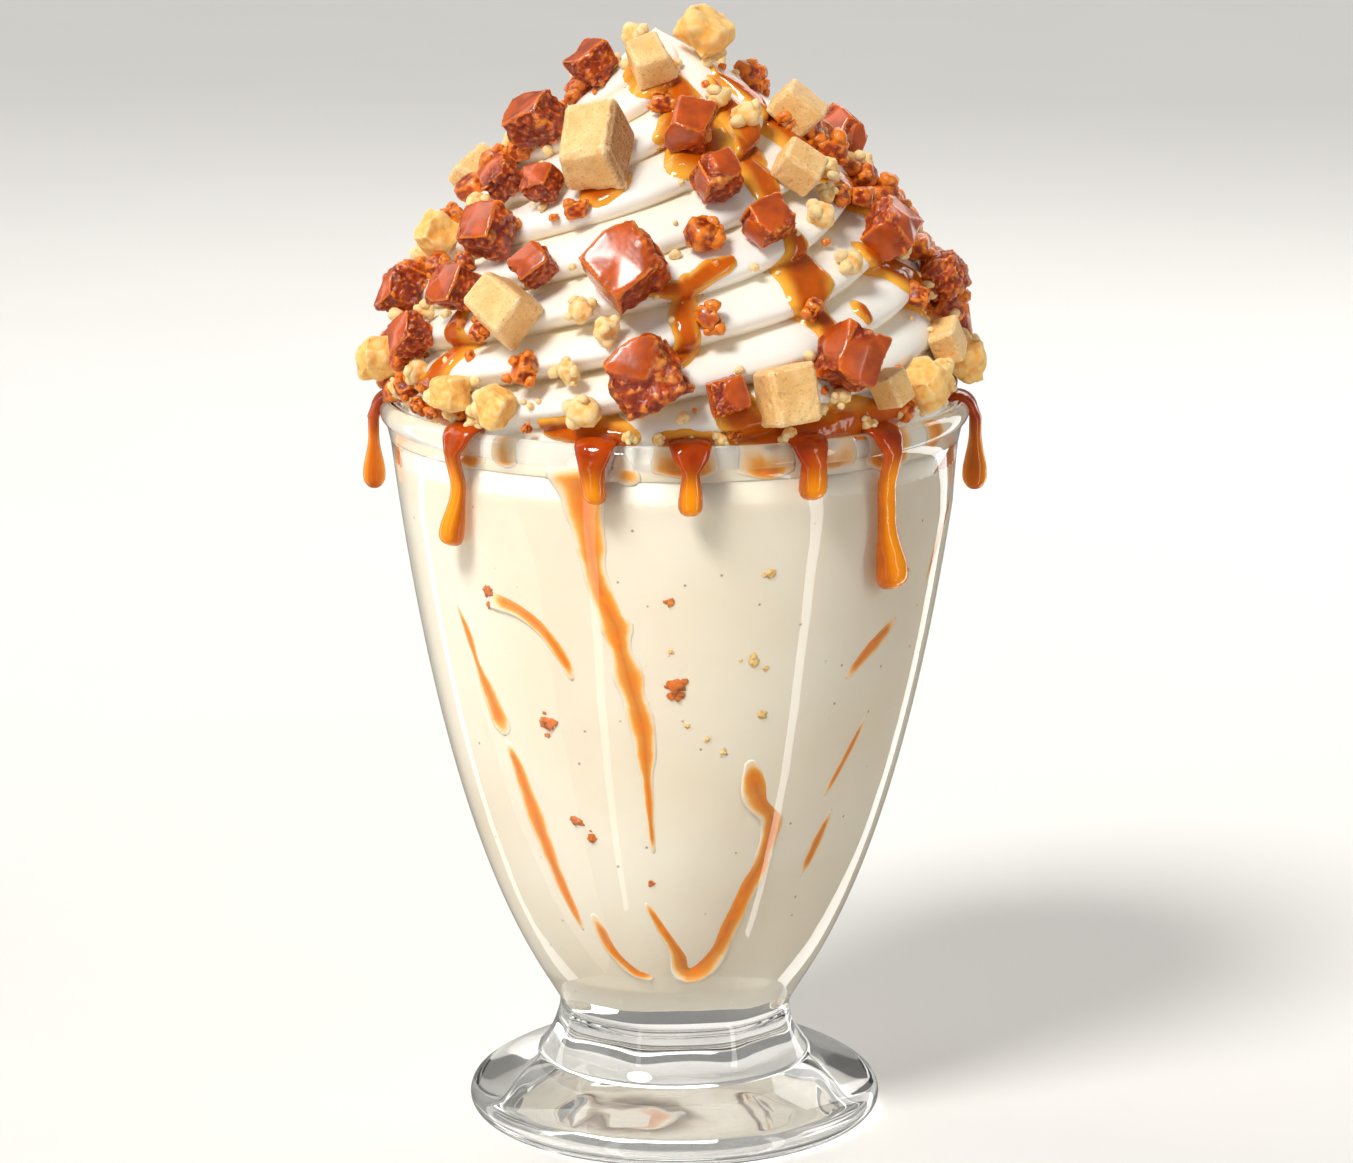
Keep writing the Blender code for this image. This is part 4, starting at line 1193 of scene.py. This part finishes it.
def make_sauce(settings):
    """Caramel on the cream: grids laid on its surface, cut to the runs' outline and given a rounded thickness."""
    ridge_depth = bpy.context.scene.milkshake_cream.ridge_depth
    pieces = []
    for run, bends in enumerate(SAUCE_RUNS):
        samples = smooth_path(bends, SAUCE_STEP)
        middle = sum((sample.x for sample in samples)) / len(samples)
        usual_height = sum(sample.y for sample in samples) / len(samples)
        scale = math.radians(1) * max(8.0, mound_radius(usual_height * MM) / MM)
        flat = [(Vector(((sample.x - middle) * scale, sample.y)), sample.z) for sample in samples]
        runs = [(a[0], b[0], a[1], b[1]) for a, b in zip(flat, flat[1:])]
        reach = max(width for spot, width in flat) + SAUCE_MARGIN
        low = Vector([min(spot[i] for spot, _ in flat) - reach for i in (0, 1)])
        low.y = max(SAUCE_LOWEST, low.y)
        high = Vector([max(spot[i] for spot, _ in flat) + reach for i in (0, 1)])
        across, up = (max(8, round((high[i] - low[i]) / SAUCE_GRID)) for i in (0, 1))
        clear_selection()
        bpy.ops.mesh.primitive_grid_add(x_subdivisions=across, y_subdivisions=up, size=2)
        piece = bpy.context.object
        depths = []
        for vertex in piece.data.vertices:
            spot = Vector([low[i] + (high[i] - low[i]) * (vertex.co[i] + 1) / 2 for i in (0, 1)])
            ragged = 0.3 * noise.noise(Vector((spot.x * 0.3, spot.y * 0.3, run * 9.1)))
            depths.append(sauce_share(spot, runs) + ragged)
            azimuth = math.radians(middle + spot.x / scale)
            height = min(spot.y * MM, CREAM_TIP - MM)
            vertex.co = sauce_point(azimuth, height, depths[-1], settings.thickness, ridge_depth)
        mark(piece, "glow", [SAUCE_PAINTED_GLOW] * len(depths))
        mark(piece, "thin", [1 - ramp(depth, 0.0, 0.8) for depth in depths])
        take(piece)
        bpy.ops.object.mode_set(mode="EDIT")
        bpy.ops.mesh.select_all(action="DESELECT")
        shape = bmesh.from_edit_mesh(piece.data)
        for face in shape.faces:
            if all(depths[vertex.index] < SAUCE_CUT for vertex in face.verts):
                face.select_set(True)
        bmesh.update_edit_mesh(piece.data)
        bpy.ops.mesh.delete(type="FACE")
        bpy.ops.object.mode_set(mode="OBJECT")
        apply_modifier(piece, "SOLIDIFY", thickness=SAUCE_SHELL, offset=-1)
        pieces.append(piece)
    finish_piece(joined("caramel_on_cream", pieces), kept_finish("Caramel", caramel_finish, settings), "caramel")


def drip_rings(top, end, end_height, neck, drop, cling):
    """Rings of caramel that creeps over the bead, thins out and ends in a round drop."""
    hanging_radius = bead_point(0, DRIP_COAT)[0]
    start_height = BEAD_CENTRE[1] - DRIP_STEP
    steps = round((start_height - end_height) / DRIP_STEP)
    rings = []
    for angle in BEAD_ANGLES:
        radius, height = bead_point(angle, DRIP_COAT * 0.45)
        taper = math.sqrt(1 - (max(0, angle - DRIP_TAPER_FROM) / DRIP_TAPER_OVER) ** 2)
        outward = place(top, math.cos(math.radians(angle)), math.sin(math.radians(angle)))
        width = (DRIP_MOUTH_WIDTH + DRIP_CREST_WIDTH * math.sin(math.radians(angle))) * taper
        rings.append((place(top, radius, height), place(top + math.pi / 2, 1, 0) * width,
                      outward * DRIP_COAT * taper))
    for step in range(1, steps):
        share = step / steps
        height = start_height + (end_height - start_height) * (1 - (1 - share) ** 1.35)
        azimuth = top + (end - top) * share
        left = height - end_height
        mouth = DRIP_MOUTH_WIDTH * (1 - ramp(start_height - height, -3 * MM, 6 * MM))
        bulge = 1 - ramp(left, drop * 1.2, drop * 4.2)
        width = max(mouth, neck + (drop - neck) * bulge)
        if left < drop:
            width *= math.sqrt(max(0.0, 1 - (1 - left / drop) ** 2))
        thickness = width * (DRIP_FLATNESS + 0.25 * bulge)
        against = wall_radius(azimuth, height) + thickness * 0.7
        radius = hanging_radius + (against - hanging_radius) * cling * ramp(start_height - height, 0, 7 * MM)
        rings.append((place(azimuth, max(radius, against), height), place(azimuth + math.pi / 2, width, 0),
                      place(azimuth, thickness, 0)))
    return rings


def make_drips(settings):
    """Drops of caramel over the rim, with a painted glow below the bead where light would come through."""
    finish = kept_finish("Caramel", caramel_finish, settings)
    for number, (top, end, height, neck, drop, cling) in enumerate(DRIPS, start=1):
        rings = drip_rings(math.radians(top), math.radians(end), height * MM, neck * MM, drop * MM, cling)
        piece = strand(f"caramel_drop_{number}", rings, DRIP_SIDES)
        count = len(piece.data.vertices)
        core = [0.0] * count
        piece.data.attributes["core"].data.foreach_get("value", core)
        # Painted glow below the bead, strongest along the drop's middle.
        below = [ramp(BEAD_CENTRE[1] - vertex.co.z, 0, 6 * MM) for vertex in piece.data.vertices]
        mark(piece, "glow", [(0.25 + 0.75 * ramp(c, 0.05, 0.9)) * b for c, b in zip(core, below)])
        mark(piece, "thin", [0.0] * count)
        finish_piece(piece, finish, "caramel", f"caramel_drip_{number}")


def area_light(name, centre, towards, size, power):
    light = bpy.data.objects.new(name, bpy.data.lights.new(name, "AREA"))
    bpy.context.scene.collection.objects.link(light)
    light.data.shape = "RECTANGLE"
    light.data.size, light.data.size_y = size
    light.data.energy = power
    light.data.color = LIGHT_COLOUR
    light.visible_camera = False
    light.location = centre
    light.rotation_euler = (Vector(towards) - centre).to_track_quat("-Z", "Y").to_euler()


def make_stage(settings):
    """Pale floor, soft lights, pale surroundings and the camera."""
    clear_selection()
    bpy.ops.mesh.primitive_plane_add(size=FLOOR_SIZE)
    floor = named(bpy.context.object, "pale_floor")
    floor.data.materials.append(kept_finish("Pale floor", floor_finish, settings))
    floor.visible_glossy = False
    for name, azimuth, distance, height, width, length, power in LIGHTS:
        centre = place(math.radians(azimuth), distance, height)
        area_light(name, centre, (0, 0, min(height, 0.1)), (width, length), power * settings.brightness)
    key = bpy.data.objects.new("key_light", bpy.data.lights.new("key_light", "SUN"))
    bpy.context.scene.collection.objects.link(key)
    key.data.energy = settings.key_strength * settings.brightness
    key.data.angle = KEY_ANGLE
    key.data.color = LIGHT_COLOUR
    key.location = KEY_PLACE
    key.rotation_euler = (-Vector(KEY_PLACE)).to_track_quat("-Z", "Y").to_euler()
    world = bpy.data.worlds.new("Studio")
    world.use_nodes = True
    background = world.node_tree.nodes["Background"].inputs
    background["Color"].default_value = (*SURROUNDINGS_COLOUR, 1)
    background["Strength"].default_value = settings.world_strength
    scene = bpy.context.scene
    scene.world = world
    scene.view_settings.view_transform = "Standard"
    camera = bpy.data.objects.new("camera", bpy.data.cameras.new("camera"))
    scene.collection.objects.link(camera)
    camera.data.lens = CAMERA_LENS
    camera.data.sensor_width = CAMERA_SENSOR
    camera.data.clip_start = 0.05
    camera.location = CAMERA_PLACE
    camera.rotation_euler = (CAMERA_TILT, 0, 0)
    scene.camera = camera


# Settings that a user would change
def colour(label, description, default):
    return bpy.props.FloatVectorProperty(
        name=label, description=description, subtype="COLOR", size=3, min=0, max=1, default=default)


class GlassSettings(bpy.types.PropertyGroup):
    steps: bpy.props.IntProperty(name="Steps round", description="Columns of faces round the glass",
                                 default=240, min=64)
    tint: colour("Tint", "Colour of the clear glass", (0.985, 0.99, 0.985))
    roughness: bpy.props.FloatProperty(name="Haze", description="Roughness where the glass is least clear",
                                       default=0.015, min=0, max=1, subtype="FACTOR")


class DrinkSettings(bpy.types.PropertyGroup):
    light: colour("Light", "Lighter shade of the drink", tint(243, 236, 220))
    dark: colour("Dark", "Darker shade of the drink", tint(237, 226, 205))
    seeds: colour("Vanilla seeds", "Colour of the fine specks", tint(120, 84, 48))


class CreamSettings(bpy.types.PropertyGroup):
    light: colour("Light", "Lighter shade of the cream", tint(249, 246, 238))
    dark: colour("Dark", "Darker shade of the cream", tint(246, 241, 230))
    # Colour of the painted shade in the valleys between the ridges.
    valley: colour("Valleys", "Shade deep between the ridges", tint(250, 228, 186))
    sunk: colour("Foot", "Shade where the cream meets the drink", tint(240, 228, 204))
    ridge_depth: bpy.props.FloatProperty(name="Ridge depth", description="Depth of the valleys between the ridges",
                                         default=5.2 * MM, min=0, unit="LENGTH")


class ToppingSettings(bpy.types.PropertyGroup):
    toffee: colour("Toffee", "Smooth sides of the toffee", tint(198, 78, 15))
    # Dark clouds in the toffee, and the colour of the painted shade on its broken sides and in their hollows.
    toffee_dark_and_shade: colour("Deep toffee", "Dark places in the toffee", tint(126, 34, 6))
    # Colour of the painted sheen on the toffee's smooth sides.
    toffee_painted_sheen: colour("Toffee sheen", "Lighter smooth sides of the toffee", tint(226, 108, 34))
    # Colour of the painted glow on the toffee's convex edges.
    toffee_painted_edge_glow: colour("Toffee edges", "Thin edges that let light through", tint(244, 136, 30))
    toffee_grain: colour("Toffee grains", "Crumbs on broken sides", tint(240, 158, 66))
    fudge: colour("Fudge", "Body of the fudge", tint(252, 208, 140))
    fudge_dark: colour("Dark fudge", "Darker clouds and grains", tint(240, 186, 112))
    # Brown specks, and the browning with painted shade on the right sides of some fudge.
    fudge_brown_and_shade: colour("Brown fudge", "Browned sides and specks", tint(164, 104, 48))
    # Colour mixed into the fudge's convex edges.
    fudge_lighter_edge: colour("Fudge edges", "Worn edges", tint(253, 232, 186))
    crumb: colour("Crumb", "Body of the pale crumbs", tint(254, 206, 116))
    crumb_dark: colour("Baked crumb", "Browner clouds", tint(248, 182, 88))
    # Colours of the painted highlight on raised places and of the painted shade in the gaps.
    crumb_painted_highlight: colour("Crumb tops", "Places that stand out", tint(255, 231, 180))
    crumb_painted_shade: colour("Crumb gaps", "Places that lie deep", tint(238, 154, 62))


class CaramelSettings(bpy.types.PropertyGroup):
    body: colour("Body", "Caramel as it lies", tint(188, 72, 2))
    deep: colour("Deep", "Thick caramel", tint(152, 46, 0))
    # Colour of the painted glow where light would come through a drop.
    glow: colour("Glow", "Where light comes through a drop", tint(255, 152, 8))
    thin: colour("Thin", "Edge of the caramel on the cream", tint(244, 176, 62))
    streak: colour("Streak", "Caramel in the drink", tint(242, 134, 0))
    thin_streak: colour("Thin streak", "Soft edge of the caramel in the drink", tint(251, 184, 72))
    streak_deep: colour("Deep streak", "Darker caramel in the drink", tint(200, 94, 0))
    thickness: bpy.props.FloatProperty(name="Thickness", description="Thickness of the caramel on the cream",
                                       default=0.9 * MM, min=0, unit="LENGTH")


class StageSettings(bpy.types.PropertyGroup):
    floor: colour("Floor", "Colour of the floor", (0.77, 0.76, 0.74))
    brightness: bpy.props.FloatProperty(name="Brightness", description="Factor on every lamp", default=1.0, min=0)
    key_strength: bpy.props.FloatProperty(name="Key light", description="Light from the upper left",
                                          default=2.85, min=0)
    world_strength: bpy.props.FloatProperty(name="Surroundings", description="Light from all round",
                                            default=0.22, min=0)


SETTINGS = {
    "milkshake_glass": GlassSettings, "milkshake_drink": DrinkSettings, "milkshake_cream": CreamSettings,
    "milkshake_toppings": ToppingSettings, "milkshake_caramel": CaramelSettings, "milkshake_stage": StageSettings,
}


class MILKSHAKE_OT_glass(bpy.types.Operator):
    """Turn the glass and press its panels"""
    bl_idname = "milkshake.glass"
    bl_label = "Glass"

    def execute(self, context):
        make_glass(context.scene.milkshake_glass)
        return {"FINISHED"}


class MILKSHAKE_OT_drink(bpy.types.Operator):
    """Fill the glass with the drink, its caramel streaks and its specks"""
    bl_idname = "milkshake.drink"
    bl_label = "Drink and streaks"

    def execute(self, context):
        make_drink(context.scene.milkshake_drink)
        make_streaks(context.scene.milkshake_caramel, context.scene.milkshake_drink)
        make_specks(context.scene.milkshake_toppings)
        return {"FINISHED"}


class MILKSHAKE_OT_cream(bpy.types.Operator):
    """Pipe the cream"""
    bl_idname = "milkshake.cream"
    bl_label = "Cream"

    def execute(self, context):
        make_cream(context.scene.milkshake_cream)
        return {"FINISHED"}


class MILKSHAKE_OT_toppings(bpy.types.Operator):
    """Dress one kind of topping"""
    bl_idname = "milkshake.toppings"
    bl_label = "Toppings"
    kind: bpy.props.StringProperty(name="Kind", description="Toffee, fudge or cookie", default="toffee")

    def execute(self, context):
        make_toppings(self.kind, context.scene.milkshake_toppings)
        return {"FINISHED"}


class MILKSHAKE_OT_crumbs(bpy.types.Operator):
    """Scatter the smaller crumbs"""
    bl_idname = "milkshake.crumbs"
    bl_label = "Crumbs"

    def execute(self, context):
        make_crumbs(context.scene.milkshake_toppings)
        return {"FINISHED"}


class MILKSHAKE_OT_caramel(bpy.types.Operator):
    """Pour caramel over the cream and the rim"""
    bl_idname = "milkshake.caramel"
    bl_label = "Caramel"

    def execute(self, context):
        make_sauce(context.scene.milkshake_caramel)
        make_drips(context.scene.milkshake_caramel)
        return {"FINISHED"}


class MILKSHAKE_OT_stage(bpy.types.Operator):
    """Lay the floor and place the lights and the camera"""
    bl_idname = "milkshake.stage"
    bl_label = "Stage"

    def execute(self, context):
        make_stage(context.scene.milkshake_stage)
        return {"FINISHED"}


class MILKSHAKE_PT_pieces(bpy.types.Panel):
    """Lists the pieces of the milkshake"""
    bl_label = "Milkshake"
    bl_idname = "MILKSHAKE_PT_pieces"
    bl_space_type = "VIEW_3D"
    bl_region_type = "UI"
    bl_category = "Milkshake"

    def draw(self, context):
        layout = self.layout
        for name in SETTINGS:
            settings = getattr(context.scene, name)
            box = layout.box()
            for key in settings.bl_rna.properties.keys():
                if key not in ("rna_type", "name"):
                    box.prop(settings, key)
        for operator in OPERATORS:
            if operator is MILKSHAKE_OT_toppings:
                for kind in FINISH_OF:
                    layout.operator(operator.bl_idname, text=kind.title()).kind = kind
            else:
                layout.operator(operator.bl_idname)


OPERATORS = (MILKSHAKE_OT_glass, MILKSHAKE_OT_drink, MILKSHAKE_OT_cream, MILKSHAKE_OT_toppings, MILKSHAKE_OT_crumbs,
             MILKSHAKE_OT_caramel, MILKSHAKE_OT_stage)


def register():
    for kind in (*SETTINGS.values(), *OPERATORS, MILKSHAKE_PT_pieces):
        bpy.utils.register_class(kind)
    for name, kind in SETTINGS.items():
        setattr(bpy.types.Scene, name, bpy.props.PointerProperty(type=kind))


def unregister():
    for name in SETTINGS:
        delattr(bpy.types.Scene, name)
    for kind in reversed((*SETTINGS.values(), *OPERATORS, MILKSHAKE_PT_pieces)):
        bpy.utils.unregister_class(kind)


def main():
    register()
    mottle_group()
    crumble_group()
    bpy.ops.milkshake.glass()
    bpy.ops.milkshake.drink()
    bpy.ops.milkshake.cream()
    for kind in FINISH_OF:
        bpy.ops.milkshake.toppings(kind=kind)
    bpy.ops.milkshake.crumbs()
    bpy.ops.milkshake.caramel()
    for name in ("fine_ball", "coarse_ball"):
        bpy.data.meshes.remove(bpy.data.meshes[name])
    bpy.ops.milkshake.stage()


if __name__ == "__main__":
    main()
